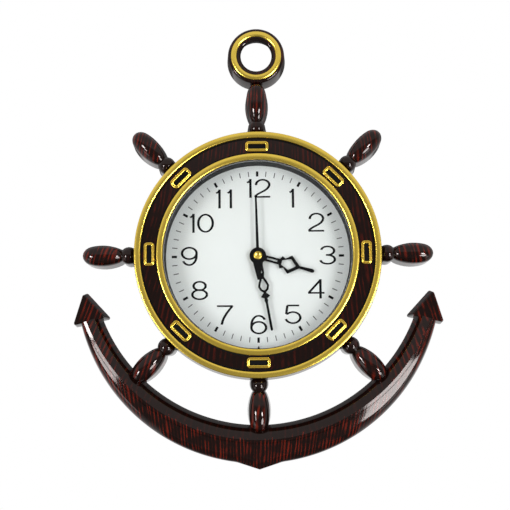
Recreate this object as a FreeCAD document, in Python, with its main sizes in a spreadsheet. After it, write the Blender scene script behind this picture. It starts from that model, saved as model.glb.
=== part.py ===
import FreeCAD, Part
import math
import os

import Sketcher

# A wall clock shaped like a ship's wheel lying on an anchor.
# The dial faces -Y, +Z is up, and the wall is the plane y = 0.
# The origin is the point where the hands' axis meets the wall.
# A depth is the distance from the wall towards the viewer, so y = -depth.

# All lengths are in millimetres.
SIZES = {
    # Shared by all pieces
    "overrun": 1.0,
    "seat_gap": 0.1,
    "running_gap": 0.05,
    # Levels from the wall forwards
    "floor_back_depth": 16.0,
    "floor_thickness": 2.0,
    "trim_back_depth": 16.0,
    "crest_depth": 44.0,
    # Wheel case, the round moulding that carries dial, lens and rings
    "window_radius": 77.3,
    "wall_inset": 0.4,
    "wall_lean": 4.0,
    "lens_ledge": 2.0,
    "ring_height": 2.6,
    # Gold rings
    "ring_width": 5.2,
    "band_width": 12.3,
    "ring_flank": 1.2,
    # Buckles on the grain band
    "buckle_length": 19.3,
    "buckle_width": 8.3,
    "buckle_slot_length": 14.2,
    "buckle_slot_width": 2.4,
    "buckle_corner": 2.2,
    "buckle_height": 2.2,
    "buckle_edge": 0.9,
    # Handles
    "handle_axis_depth": 31.0,
    "bead_reach": 6.8,
    "neck_reach": 12.0,
    "rise_reach": 19.4,
    "belly_reach": 28.0,
    "shoulder_reach": 37.5,
    "tip_reach": 42.4,
    "end_reach": 44.8,
    "bead_radius": 7.3,
    "rise_half": 7.6,
    "belly_half": 8.9,
    "shoulder_half": 7.5,
    "tip_half": 5.0,
    "end_half": 1.8,
    "handle_wall": 3.2,
    "handle_roof": 3.0,
    # Eye ring above the top handle
    "eye_bore_radius": 13.2,
    "eye_sink": -0.1,
    "eye_radius": 25.3,
    "eye_front_depth": 26.4,
    "eye_gold_radius": 21.7,
    "eye_gold_bore": 15.2,
    "eye_gold_crest_depth": 30.6,
    "eye_gold_flank": 1.5,
    # Anchor arms
    "arm_outer_drop": 19.0,
    "arm_cover": 3.3,
    "arm_width": 9.5,
    "ridge_reach": 11.4,
    "crown_point": 5.0,
    "arm_ridge_land": 0.9,
    "arm_edge_depth": 28.0,
    "arm_ridge_depth": 37.0,
    "arm_flare": 1.4,
    "arm_wall": 2.4,
    "arm_roof": 3.0,
    # Flukes
    "fluke_base": 23.9,
    "fluke_height": 21.2,
    "fluke_sink": 1.0,
    "fluke_front_depth": 33.0,
    "fluke_flare": 2.9,
    "fluke_wall": 2.6,
    # Lens, spacer ring and dial
    "lens_thickness": 2.0,
    "lens_clearance": 7.4,
    "lens_seat": 1.7,
    "dial_thickness": 0.8,
    "dial_hole": 4.2,
    "lug_width": 3.0,
    "lug_reach": 2.2,
    "lug_thickness": 1.2,
    # Back case, a cup that stands on the wall
    "cup_wall": 2.0,
    "cup_inset": 5.6,
    "keyhole_height": 78.0,
    "keyhole_radius": 4.0,
    "keyhole_slot": 4.0,
    "keyhole_rise": 8.0,
    "bridge_half": 16.0,
    "bridge_low": 68.0,
    "bridge_thickness": 2.0,
    "screw_radius": 1.5,
    "screw_length": 9.0,
    "screw_inset": 15.1,
    "screw_head_radius": 3.0,
    "screw_head_height": 1.8,
    "screw_clearance": 0.3,
    # Movement housing
    "housing_wall": 1.5,
    "housing_front": 1.8,
    "washer_thickness": 0.5,
    "washer_radius": 8.0,
    "cover_back_depth": 1.4,
    "cover_thickness": 1.5,
    "bay_top": 11.9,
    "bay_wall": 1.1,
    "bay_front": 0.6,
    "bush_radius": 4.0,
    "bush_bore": 2.55,
    "nut_height": 1.9,
    "nut_flats": 11.0,
    "bush_end_depth": 21.0,
    "plate_thickness": 0.7,
    "wheel_thickness": 0.8,
    "layer_gap": 0.3,
    "front_play": 0.4,
    # Arbors and pipes
    "arbor_radius": 0.5,
    "pivot_depth": 0.7,
    "minute_pipe_radius": 1.5,
    "hour_pipe_radius": 2.5,
    "post_radius": 0.7,
    "knob_shaft_radius": 1.0,
    "knob_radius": 5.0,
    "knob_thickness": 0.8,
    "knob_gap": 0.2,
    # Tooth sizes, pitch circle diameter over tooth count
    "centre_module": 0.4,
    "seconds_module": 0.4,
    "rotor_module": 0.36,
    "hour_module": 0.4,
    # Motor and electronics
    "magnet_radius": 2.6,
    "magnet_height": 2.4,
    "stator_hole_radius": 3.2,
    "stator_thickness": 0.8,
    "stator_lift": 1.3,
    "stator_left": 25.5,
    "stator_right": 0.9,
    "stator_low": 0.9,
    "stator_bridge": 8.6,
    "stator_high": 25.5,
    "stator_leg": 2.8,
    "coil_radius": 2.6,
    "coil_height": 21.8,
    "coil_gap": 0.2,
    "board_left": 13.0,
    "board_low": 5.0,
    "board_edge": 0.4,
    "board_thickness": 1.0,
    "crystal_radius": 1.0,
    "crystal_length": 6.2,
    "crystal_height": 17.0,
    "crystal_inset": 6.5,
    # Battery and contacts
    "battery_radius": 7.1,
    "battery_length": 49.2,
    "battery_nub_radius": 2.7,
    "battery_nub_length": 1.3,
    "battery_gap": 0.05,
    "spring_room": 2.05,
    "contact_thickness": 0.4,
    "contact_half": 4.5,
    "spring_radius": 3.2,
    # Hands
    "hand_thickness": 0.5,
    "hour_hand_depth": 21.5,
    "minute_hand_depth": 23.1,
    "second_hand_depth": 24.9,
    "pipe_show": 0.4,
    "hub_radius": 6.8,
    "hour_hub_radius": 6.4,
    "hand_line": 1.5,
    "hour_loop_half": 2.3,
    "hour_spike_place": 20.2,
    "hour_spike_half": 5.2,
    "hour_waist_place": 23.0,
    "hour_waist_half": 3.8,
    "hour_wing_place": 27.7,
    "hour_wing_half": 7.8,
    "hour_star_end": 36.0,
    "hour_length": 48.7,
    "hour_needle_half": 0.9,
    "hour_tip_half": 1.4,
    "minute_loop_half": 2.4,
    "minute_waist_place": 18.3,
    "minute_waist_half": 1.5,
    "minute_drop_place": 25.8,
    "minute_drop_half": 4.5,
    "minute_drop_end": 31.4,
    "minute_barb_place": 34.6,
    "minute_barb_half": 3.7,
    "minute_bump_place": 38.0,
    "minute_bump_half": 1.5,
    "minute_length": 63.4,
    "minute_needle_half": 0.85,
    "second_length": 51.0,
    "second_tail": 20.2,
    "second_half": 1.1,
    "second_tip_half": 0.65,
    "second_tail_half": 3.8,
    "second_tail_end_half": 0.8,
    "cap_radius": 3.6,
    "cap_height": 1.2,
}

# Angles in degrees and counts
HANDLE_STEP = 45.0
BEAD_TURNS = (135.0, 90.0)
UPPER_HANDLES = 5
LOWER_HANDLES = 3
BUCKLES = 8
SCREWS = 4
ARM_END_INNER = -21.3
ARM_END_OUTER = -13.95
ARM_HOLLOW_DROP = 1.2
CROWN_HALF = 7.2
FLUKE_LEAN = 13.0
FLUKE_BEARING = -21.0
NUT_SIDES = 6
NUT_TURN = 15.0
ROUND_SIDES = 12
KNOB_SIDES = 14

# Shapes of the hands: shares of a size, and distances counted in line widths
TIP_CORNER_SHARE = 0.5
DROP_BEND = 0.75
ROOT_LINES = 0.3
WAIST_LINES = 1.2
WING_LINES = 1.9
END_LINES = 2.2

HOUR_HAND_TURN = 106.0
MINUTE_HAND_TURN = 169.8
SECOND_HAND_TURN = -1.5
ROTOR_BEARING = 135.0
KNOB_BEARING = 45.0

# Tooth counts of the going train and of the motion work
ROTOR_LEAVES = 6
FIFTH_TEETH = 30
FIFTH_LEAVES = 6
SECONDS_TEETH = 36
SECONDS_LEAVES = 6
THIRD_TEETH = 45
THIRD_LEAVES = 6
CENTRE_TEETH = 48
MINUTE_LEAVES = 8
MOTION_TEETH = 24
MOTION_LEAVES = 8
HOUR_TEETH = 32
KNOB_LEAVES = 8

# Tooth form: heights in modules, widths at tip and root as shares of the pitch
TIP_SHARE = 0.62
ROOT_SHARE = 0.85
WHEEL_TIP_SHARE = 0.0
WHEEL_ROOT_SHARE = 1.0
LEAF_TIP_SHARE = 0.12
LEAF_ROOT_SHARE = 0.42

document = FreeCAD.newDocument("Clock")
sheet = document.addObject("Spreadsheet::Sheet", "Sizes")
pieces = []


class Length:
    """A length in millimetres together with the sheet formula that gives it."""

    def __init__(self, mm, formula):
        self.mm = mm
        self.formula = formula

    def __add__(self, other):
        return Length(self.mm + number(other), f"({self.formula} + {written(other)})")

    def __sub__(self, other):
        return Length(self.mm - number(other), f"({self.formula} - {written(other)})")

    def __mul__(self, other):
        return Length(self.mm * number(other), f"({self.formula} * {written(other)})")

    def __truediv__(self, other):
        return Length(self.mm / number(other), f"({self.formula} / {written(other)})")

    def __neg__(self):
        return Length(-self.mm, f"(-1 * {self.formula})")


def number(value):
    """The plain number of a length or of a number."""
    return value.mm if isinstance(value, Length) else float(value)


def written(value):
    """The sheet formula of a length or of a number."""
    return value.formula if isinstance(value, Length) else f"{float(value):.9f}"


class Named:
    """The sizes of the sheet, each under its own name."""


def fill_sheet():
    """Write every size into the sheet and return them as lengths."""
    named = Named()
    for row, (name, value) in enumerate(SIZES.items(), start=1):
        sheet.set(f"A{row}", name)
        sheet.set(f"B{row}", str(value))
        sheet.setAlias(f"B{row}", name)
        setattr(named, name, Length(value, f"Sizes.{name}"))
    document.recompute()
    return named


s = fill_sheet()


def bind(item, property_name, length):
    """Tie a property to the sheet, or set it when it is a plain number."""
    if isinstance(length, Length):
        item.setExpression(property_name, length.formula)
    else:
        setattr(item, property_name, length)


def polar(radius, degrees):
    """The sideways and upwards parts of a radius at an angle."""
    turn = math.radians(degrees)
    return radius * math.cos(turn), radius * math.sin(turn)


def keep(label, item):
    """Name a finished piece and list it for export."""
    item.Label = label
    pieces.append((label, item))
    return item


# Sketches

def origin_plane(body, role):
    """The body's own base plane with this role."""
    return [item for item in body.Origin.OriginFeatures if item.Role == role][0]


def hold(kind, edge, end, length):
    """A constraint that puts one end of an edge at a coordinate, with its formula."""
    if not isinstance(length, Length):
        axis = -2 if kind == "DistanceX" else -1
        return Sketcher.Constraint("PointOnObject", edge, end, axis), None
    constraint = Sketcher.Constraint(kind, -1, 1, edge, end, length.mm)
    return constraint, length.formula


def draw_edge(sketch, here, after):
    """Draw the edge that leaves a corner: its index, its two ends and any centre rule."""
    start = FreeCAD.Vector(number(here[0]), number(here[1]), 0)
    finish = FreeCAD.Vector(number(after[0]), number(after[1]), 0)
    if len(here) == 2:
        edge = sketch.addGeometry(Part.LineSegment(start, finish), False)
        return edge, 1, 2, []
    centre = FreeCAD.Vector(number(here[2]), number(here[3]), 0)
    ahead = here[4] > 0
    first, last = (start, finish) if ahead else (finish, start)
    from_angle = math.atan2(first.y - centre.y, first.x - centre.x)
    to_angle = math.atan2(last.y - centre.y, last.x - centre.x)
    while to_angle <= from_angle:
        to_angle += 2 * math.pi
    circle = Part.Circle(centre, FreeCAD.Vector(0, 0, 1), (start - centre).Length)
    edge = sketch.addGeometry(Part.ArcOfCircle(circle, from_angle, to_angle), False)
    chord = finish - start
    upright = abs(chord.y) > abs(chord.x)
    rule = hold("DistanceX" if upright else "DistanceY", edge, 3, here[2 if upright else 3])
    return (edge, 1, 2, [rule]) if ahead else (edge, 2, 1, [rule])


def draw_loop(sketch, corners):
    """Draw a closed loop. A corner is (x, y), or (x, y, centre x, centre y, turn) before an arc."""
    rules = []
    edges = []
    for here, after in zip(corners, corners[1:] + corners[:1]):
        edge, first, last, extra = draw_edge(sketch, here, after)
        edges.append((edge, first, last))
        rules += extra
    for place, corner in enumerate(corners):
        edge, first, _ = edges[place]
        before, _, last = edges[place - 1]
        rules.append((Sketcher.Constraint("Coincident", before, last, edge, first), None))
        rules.append(hold("DistanceX", edge, first, corner[0]))
        rules.append(hold("DistanceY", edge, first, corner[1]))
    return rules


def draw_circle(sketch, x, y, radius):
    """Draw a whole circle."""
    centre = FreeCAD.Vector(number(x), number(y), 0)
    circle = Part.Circle(centre, FreeCAD.Vector(0, 0, 1), radius.mm)
    edge = sketch.addGeometry(circle, False)
    size = Sketcher.Constraint("Radius", edge, radius.mm)
    return [hold("DistanceX", edge, 3, x), hold("DistanceY", edge, 3, y), (size, radius.formula)]


def add_sketch(body, role, loops, circles=(), depth=None):
    """A sketch on one of the body's base planes, or in front of it by a depth."""
    sketch = body.newObject("Sketcher::SketchObject", "Sketch")
    sketch.AttachmentSupport = [(origin_plane(body, role), "")]
    sketch.MapMode = "FlatFace"
    if depth is not None:
        bind(sketch, "AttachmentOffset.Base.z", depth)
    rules = []
    for corners in loops:
        rules += draw_loop(sketch, corners)
    for x, y, radius in circles:
        rules += draw_circle(sketch, x, y, radius)
    numbers = sketch.addConstraint([constraint for constraint, _ in rules])
    for place, (_, formula) in zip(numbers, rules):
        if formula:
            sketch.setExpression(f"Constraints[{place}]", formula)
    return sketch


# Features

def new_body(name):
    """An empty body."""
    return document.addObject("PartDesign::Body", name)


def revolve(body, loops, cut=False):
    """Turn a profile of (radius, y) corners about the Y axis."""
    sketch = add_sketch(body, "XY_Plane", loops)
    kind = "Groove" if cut else "Revolution"
    feature = body.newObject(f"PartDesign::{kind}", kind)
    feature.Profile = sketch
    feature.ReferenceAxis = (sketch, ["V_Axis"])
    feature.Angle = 360
    return feature


def pad(body, loops, back, front, circles=(), cut=False):
    """Extrude a front-view outline from one depth to another."""
    sketch = add_sketch(body, "XZ_Plane", loops, circles, back)
    kind = "Pocket" if cut else "Pad"
    feature = body.newObject(f"PartDesign::{kind}", kind)
    feature.Profile = sketch
    bind(feature, "Length", front - back)
    feature.Reversed = cut
    return feature


def loft(body, levels, cut=False):
    """A ruled loft through front-view outlines, each with its depth."""
    sketches = [add_sketch(body, "XZ_Plane", [outline], depth=depth) for outline, depth in levels]
    kind = "SubtractiveLoft" if cut else "AdditiveLoft"
    feature = body.newObject(f"PartDesign::{kind}", kind)
    feature.Profile = sketches[0]
    feature.Sections = sketches[1:]
    feature.Ruled = True
    return feature


def skirt(body, outline, back, front, flare):
    """Walls that run back from an outline and lean out by a flare."""
    feature = pad(body, [outline], front, back)
    run = front - back
    lean = math.degrees(math.atan2(flare.mm, run.mm))
    feature.Reversed = True
    bind(feature, "Length", run)
    bind(feature, "TaperAngle", Length(lean, f"atan({flare.formula} / {run.formula})"))
    return feature


def turned(label, loops):
    """A piece made by turning one profile about the hands' axis."""
    body = new_body(label)
    revolve(body, loops)
    return keep(label, body)


def plate(label, loops, back, front, circles=()):
    """A flat piece cut to a front-view outline."""
    body = new_body(label)
    pad(body, loops, back, front, circles)
    return keep(label, body)


def box_loop(left, low, right, high):
    """The four corners of an upright rectangle."""
    return [(left, low), (right, low), (right, high), (left, high)]


def prism_loop(place, radius):
    """The outline of a small round bar, drawn as a polygon inside the given radius."""
    steps = [polar(radius, side * 360.0 / ROUND_SIDES) for side in range(ROUND_SIDES)]
    return [(across + place[0], up + place[1]) for across, up in steps]


def hole_loop(x, z, radius):
    """A small round hole drawn as a polygon round the given radius."""
    corner = radius * (1 / math.cos(math.pi / ROUND_SIDES))
    steps = [polar(corner, side * 360.0 / ROUND_SIDES) for side in range(ROUND_SIDES)]
    return [(across + x, up + z) for across, up in steps]


def mirrored(upper):
    """A closed outline from its upper half, whose ends lie on the horizontal axis."""
    return upper + [(along, -up) for along, up in upper[-2:0:-1]]


def spun(shape, degrees):
    """A copy of a shape turned about the hands' axis, clockwise from the front."""
    copy = shape.copy()
    copy.rotate(FreeCAD.Vector(0, 0, 0), FreeCAD.Vector(0, 1, 0), degrees)
    return copy


def group(label, shapes):
    """One piece that holds several separate solids."""
    item = document.addObject("Part::Feature", label)
    item.Shape = Part.makeCompound(shapes)
    return keep(label, item)


def join(label, shapes, holes=()):
    """A piece fused from several solids, with bores cut through it."""
    shape = shapes[0]
    for other in shapes[1:]:
        shape = shape.fuse(other)
    for hole in holes:
        shape = shape.cut(hole)
    item = document.addObject("Part::Feature", label)
    item.Shape = shape.removeSplitter()
    return keep(label, item)


def prism(place, corner_radius, back, front, sides):
    """An upright-sided bar along the depth with this many sides."""
    turns = [2 * math.pi * side / sides for side in range(sides)]
    corners = [FreeCAD.Vector(place[0].mm + corner_radius.mm * math.cos(turn), -back.mm,
                              place[1].mm + corner_radius.mm * math.sin(turn)) for turn in turns]
    face = Part.Face(Part.makePolygon(corners + corners[:1]))
    return face.extrude(FreeCAD.Vector(0, -(front - back).mm, 0))


def rod(place, radius, back, front):
    """A small round bar along the depth, drawn with many flat sides."""
    return prism(place, radius, back, front, ROUND_SIDES)


def bore(place, radius, back, front):
    """What cuts a small round hole, with an overrun at both ends."""
    corner = radius * (1 / math.cos(math.pi / ROUND_SIDES))
    return prism(place, corner, back - s.overrun, front + s.overrun, ROUND_SIDES)


def frustum(back_loop, back, front_loop, front):
    """A solid with flat sides between two outlines whose edges are parallel."""
    rear = [FreeCAD.Vector(x.mm, -back.mm, z.mm) for x, z in back_loop]
    fore = [FreeCAD.Vector(x.mm, -front.mm, z.mm) for x, z in front_loop]
    loops = [rear, fore]
    for here in range(len(rear)):
        loops.append([rear[here - 1], rear[here], fore[here], fore[here - 1]])
    faces = [Part.Face(Part.makePolygon(loop + loop[:1])) for loop in loops]
    solid = Part.makeSolid(Part.makeShell(faces))
    solid.fix(s.seat_gap.mm, s.seat_gap.mm, s.seat_gap.mm)
    return solid


# Levels that several pieces share

still = s.overrun * 0
case_back = s.floor_back_depth + s.floor_thickness
dial_front = case_back + s.dial_thickness
band_face = s.crest_depth - s.ring_height
cap_front = s.second_hand_depth + s.hand_thickness + s.cap_height
lens_back = cap_front + s.lens_clearance
lens_front = lens_back + s.lens_thickness
lens_bore = s.window_radius + s.lens_ledge
inner_ring_bore = s.window_radius
inner_ring_radius = inner_ring_bore + s.ring_width
outer_ring_bore = inner_ring_radius + s.band_width
outer_ring_radius = outer_ring_bore + s.ring_width
wall_front_radius = outer_ring_radius - s.wall_inset
wall_back_radius = wall_front_radius + s.wall_lean
lens_radius = s.window_radius + s.lens_seat
dial_radius = lens_radius
spacer_bore = s.window_radius
cup_radius = wall_back_radius - s.cup_inset
screw_place = wall_back_radius - s.screw_inset
bead_place = outer_ring_radius + s.bead_reach
neck_place = outer_ring_radius + s.neck_reach
rise_place = outer_ring_radius + s.rise_reach
belly_place = outer_ring_radius + s.belly_reach
shoulder_place = outer_ring_radius + s.shoulder_reach
tip_place = outer_ring_radius + s.tip_reach
end_place = outer_ring_radius + s.end_reach
eye_height = end_place - s.eye_sink + s.eye_radius
arm_inner_radius = end_place - s.arm_cover
arm_outer_radius = arm_inner_radius + s.arm_width
arm_ridge_radius = arm_inner_radius + s.ridge_reach
crown_tip = arm_outer_radius + s.arm_outer_drop + s.crown_point
fluke_place = arm_outer_radius - s.fluke_sink
movement_front = s.floor_back_depth - s.washer_thickness
battery_room = (s.battery_length + s.battery_nub_length + s.battery_gap + s.contact_thickness
                + s.spring_room)
movement_side = battery_room + s.housing_wall * 2


def wall_radius(depth):
    """The outside radius of the wheel case at a depth: the wall leans out towards the back."""
    lean = (wall_back_radius - wall_front_radius) / (band_face - case_back)
    return wall_back_radius - (depth - case_back) * lean


# Wheel case and its gold trim

def make_wheel_case():
    """The round moulding, with seats for the rings and a ledge in front of the lens."""
    body = new_body("wheel_case")
    profile = [
        (lens_bore, -case_back),
        (wall_back_radius, -case_back),
        (wall_front_radius, -band_face),
        (s.window_radius, -band_face),
        (s.window_radius, -lens_front),
        (lens_bore, -lens_front),
    ]
    revolve(body, [profile])
    pilots = [hole_loop(*screw_centre(place), s.screw_radius) for place in range(SCREWS)]
    reach = case_back + s.screw_length - s.floor_thickness + s.overrun
    pad(body, pilots, case_back - s.overrun, reach, cut=True)
    return keep("wheel_case", body)


def screw_centre(place):
    """Where one back case screw stands."""
    return polar(screw_place, (place + 0.5) * 360.0 / SCREWS)


def beaded_ring(bore, radius, seat, crest, flank):
    """The profile of a ring whose two flanks lean in to a flat crest."""
    return [
        (bore, -seat),
        (radius, -seat),
        (radius - flank, -crest),
        (bore + flank, -crest),
    ]


def make_gold_rings():
    """The two gold rings that edge the grain band."""
    for label, bore, radius in (("outer_gold_ring", outer_ring_bore, outer_ring_radius),
                                ("inner_gold_ring", inner_ring_bore, inner_ring_radius)):
        turned(label, [beaded_ring(bore, radius, band_face, s.crest_depth, s.ring_flank)])


def cut_cornered(length, width, corner):
    """A rectangle about the origin with its corners cut off, long way up."""
    across = width * 0.5
    along = length * 0.5
    return [
        (across, corner - along),
        (across, along - corner),
        (across - corner, along),
        (corner - across, along),
        (-across, along - corner),
        (-across, corner - along),
        (corner - across, -along),
        (across - corner, -along),
    ]


def make_buckles():
    """Eight slotted frames spread round the grain band."""
    body = new_body("buckle")
    middle = (outer_ring_bore + inner_ring_radius) * 0.5
    front = band_face + s.buckle_height
    foot = cut_cornered(s.buckle_length, s.buckle_width, s.buckle_corner)
    top = cut_cornered(s.buckle_length - s.buckle_edge * 2, s.buckle_width - s.buckle_edge * 2,
                       s.buckle_corner - s.buckle_edge * 0.5)
    loft(body, [(foot, band_face), (foot, front - s.buckle_edge), (top, front)])
    across = s.buckle_slot_width * 0.5
    along = s.buckle_slot_length * 0.5
    slot = box_loop(-across, -along, across, along)
    pad(body, [slot], band_face - s.overrun, front + s.overrun, cut=True)
    document.recompute()
    frame = body.Shape.copy()
    frame.translate(FreeCAD.Vector(middle.mm, 0, 0))
    group("buckles", [spun(frame, place * 360.0 / BUCKLES) for place in range(BUCKLES)])


# Handles

def handle_half():
    """The upper half of a handle's front outline, from the bead outwards."""
    share = (neck_place.mm - bead_place.mm) / s.bead_radius.mm
    turns = list(BEAD_TURNS) + [math.degrees(math.acos(share))]
    bead = [polar(s.bead_radius, turn) for turn in turns]
    return [(along + bead_place, half) for along, half in bead] + [
        (rise_place, s.rise_half),
        (belly_place, s.belly_half),
        (shoulder_place, s.shoulder_half),
        (tip_place, s.tip_half),
        (end_place, s.end_half),
        (end_place, 0),
    ]


def make_handle():
    """One handle along +X: half round in front, upright walls behind, hollow at the back."""
    body = new_body("handle")
    front = [(bead_place - s.bead_radius, 0)] + handle_half()
    sketch = add_sketch(body, "XZ_Plane", [front], depth=s.handle_axis_depth)
    bulge = body.newObject("PartDesign::Revolution", "Revolution")
    bulge.Profile = sketch
    bulge.ReferenceAxis = (sketch, ["H_Axis"])
    bulge.Angle = 180
    pad(body, [mirrored(front)], s.trim_back_depth, s.handle_axis_depth)
    roof = s.handle_axis_depth - s.handle_roof
    low = s.shoulder_half - s.handle_wall
    wide = s.belly_half - s.handle_wall
    left = neck_place + s.handle_wall
    right = shoulder_place
    hollow = [(left, -low), (belly_place, -wide), (right, -low),
              (right, low), (belly_place, wide), (left, low)]
    pad(body, [hollow], s.trim_back_depth - s.overrun, roof, cut=True)
    seat = [
        (0, -(s.trim_back_depth - s.overrun)),
        (wall_radius(s.trim_back_depth - s.overrun) + s.seat_gap, -(s.trim_back_depth - s.overrun)),
        (wall_radius(s.crest_depth) + s.seat_gap, -s.crest_depth),
        (0, -s.crest_depth),
    ]
    revolve(body, [seat], cut=True)
    document.recompute()
    return body


def make_handles(handle, eye_outside, arms_filled):
    """Five free handles above and three below that lie on the anchor arms."""
    upper = []
    for place in range(UPPER_HANDLES):
        turned_handle = spun(handle.Shape, place * -HANDLE_STEP)
        upper.append(turned_handle.cut(eye_outside))
    group("upper_handles", [solid for shape in upper for solid in shape.Solids])
    lower = []
    for place in range(LOWER_HANDLES):
        turned_handle = spun(handle.Shape, (place + 1) * HANDLE_STEP)
        lower.append(turned_handle.cut(arms_filled))
    group("lower_handles", [max(shape.Solids, key=lambda solid: solid.Volume) for shape in lower])


# Eye ring

def make_eye():
    """The ring above the top handle, with a gold ring on its front."""
    body = new_body("eye_ring")
    revolve(body, [[
        (s.eye_bore_radius, -s.trim_back_depth),
        (s.eye_radius, -s.trim_back_depth),
        (s.eye_radius, -s.eye_front_depth),
        (s.eye_bore_radius, -s.eye_front_depth),
    ]])
    bind(body, "Placement.Base.z", eye_height)
    keep("eye_ring", body)
    gold = new_body("eye_gold_ring")
    revolve(gold, [beaded_ring(s.eye_gold_bore, s.eye_gold_radius, s.eye_front_depth,
                               s.eye_gold_crest_depth, s.eye_gold_flank)])
    bind(gold, "Placement.Base.z", eye_height)
    keep("eye_gold_ring", gold)


def eye_outside():
    """A solid that fills the eye ring's outer wall, to seat the top handle against it."""
    back = s.trim_back_depth - s.overrun
    base = FreeCAD.Vector(0, -back.mm, eye_height.mm)
    return Part.makeCylinder((s.eye_radius + s.seat_gap).mm, (s.crest_depth - back).mm, base,
                             FreeCAD.Vector(0, -1, 0))


# Anchor

def arm_outline(inner, outer, drop, tip):
    """The crescent of both arms, with a pointed crown at the bottom."""
    right_x, right_z = polar(outer, ARM_END_OUTER)
    flank_x, flank_z = polar(outer, CROWN_HALF - 90.0)
    inner_x, inner_z = polar(inner, ARM_END_INNER)
    return [
        (-right_x, right_z - drop, 0, -drop, 1),
        (-flank_x, flank_z - drop),
        (0, -tip),
        (flank_x, flank_z - drop, 0, -drop, 1),
        (right_x, right_z - drop),
        (inner_x, inner_z, 0, 0, -1),
        (-inner_x, inner_z),
    ]


def ridge_outline():
    """The narrow land along the ridge, which runs round the hands' axis."""
    inner = arm_ridge_radius - s.arm_ridge_land * 0.5
    outer = arm_ridge_radius + s.arm_ridge_land * 0.5
    right_x, right_z = polar(outer, ARM_END_INNER)
    flank_x, flank_z = polar(outer, CROWN_HALF - 90.0)
    inner_x, inner_z = polar(inner, ARM_END_INNER)
    return [
        (-right_x, right_z, 0, 0, 1),
        (-flank_x, flank_z),
        (0, -(outer + s.arm_ridge_land)),
        (flank_x, flank_z, 0, 0, 1),
        (right_x, right_z),
        (inner_x, inner_z, 0, 0, -1),
        (-inner_x, inner_z),
    ]


def add_arm_blank(body):
    """The full form of the arms: a leaning skirt, then two bevels that meet on the ridge."""
    edge = arm_outline(arm_inner_radius, arm_outer_radius, s.arm_outer_drop, crown_tip)
    skirt(body, edge, s.trim_back_depth, s.arm_edge_depth, s.arm_flare)
    loft(body, [(edge, s.arm_edge_depth), (ridge_outline(), s.arm_ridge_depth)])


def hollow_outline(inner, outer, drop):
    """The crescent-shaped mouth of the arms' hollow back."""
    right_x, right_z = polar(outer, ARM_END_OUTER - ARM_HOLLOW_DROP)
    inner_x, inner_z = polar(inner, ARM_END_INNER - ARM_HOLLOW_DROP)
    middle = outer + drop
    return [
        (-right_x, right_z - drop, 0, -drop, 1),
        (0, -middle, 0, -drop, 1),
        (right_x, right_z - drop),
        (inner_x, inner_z, 0, 0, -1),
        (-inner_x, inner_z),
    ]


def make_arms():
    """Both anchor arms in one moulding, hollow from behind."""
    filled = new_body("arms_filled")
    add_arm_blank(filled)
    body = new_body("anchor_arms")
    add_arm_blank(body)
    wall = s.arm_wall
    mouth = hollow_outline(arm_inner_radius + wall, arm_outer_radius - wall, s.arm_outer_drop)
    top = hollow_outline(arm_ridge_radius - s.arm_ridge_land, arm_ridge_radius + s.arm_ridge_land,
                         still)
    loft(body, [(mouth, s.trim_back_depth - s.overrun), (top, s.arm_ridge_depth - s.arm_roof)],
         cut=True)
    document.recompute()
    keep("anchor_arms", body)
    return filled.Shape


def fluke_outline(inset):
    """A triangle on its base, pointing up, with its sides drawn in by an inset."""
    slope = math.hypot(s.fluke_base.mm * 0.5, s.fluke_height.mm)
    top = s.fluke_height - inset * (slope / (s.fluke_base.mm * 0.5))
    half = top * (s.fluke_base / (s.fluke_height * 2)) - inset * (s.fluke_base / (s.fluke_height * 2))
    return [(-half, inset), (half, inset), (still, top)]


def make_flukes(arms_filled):
    """The two pointed flukes, seated on the ends of the arms."""
    form = frustum(fluke_outline(-s.fluke_flare), s.trim_back_depth, fluke_outline(still),
                   s.fluke_front_depth)
    inside = fluke_outline(s.fluke_wall)
    hollow = frustum(inside, s.trim_back_depth - s.overrun, inside,
                     s.fluke_front_depth - s.fluke_wall)
    fluke = form.cut(hollow)
    x, z = polar(fluke_place, FLUKE_BEARING)
    for label, side in (("left_fluke", -1), ("right_fluke", 1)):
        shape = spun(fluke, FLUKE_LEAN * side)
        shape.translate(FreeCAD.Vector(x.mm * side, 0, z.mm))
        group(label, [max(shape.cut(arms_filled).Solids, key=lambda solid: solid.Volume)])


# Lens, spacer ring, dial and back case

def make_window():
    """The lens behind its ledge, the ring that holds it and the dial."""
    turned("lens", [[(0, -lens_back), (lens_radius, -lens_back),
                     (lens_radius, -lens_front), (0, -lens_front)]])
    spacer = new_body("spacer_ring")
    revolve(spacer, [[(spacer_bore, -dial_front), (dial_radius, -dial_front),
                      (dial_radius, -lens_back), (spacer_bore, -lens_back)]])
    half = s.lug_width * 0.5
    lug = [(-half, -(spacer_bore + s.lug_reach * 0.5)), (half, -(spacer_bore + s.lug_reach * 0.5)),
           (0, -(spacer_bore - s.lug_reach))]
    pad(spacer, [lug], dial_front, dial_front + s.lug_thickness)
    keep("spacer_ring", spacer)
    turned("dial", [[(s.dial_hole, -case_back), (dial_radius, -case_back),
                     (dial_radius, -dial_front), (s.dial_hole, -dial_front)]])


def keyhole():
    """A round entry for a screw head with a slot above it, as one loop."""
    half = s.keyhole_slot * 0.5
    rise = s.keyhole_radius * math.sqrt(1 - (half.mm / s.keyhole_radius.mm) ** 2)
    low = s.keyhole_height
    high = low + s.keyhole_rise
    return [
        (-half, low + rise, 0, low, 1),
        (half, low + rise),
        (half, high, 0, high, 1),
        (-half, high),
    ]


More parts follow.
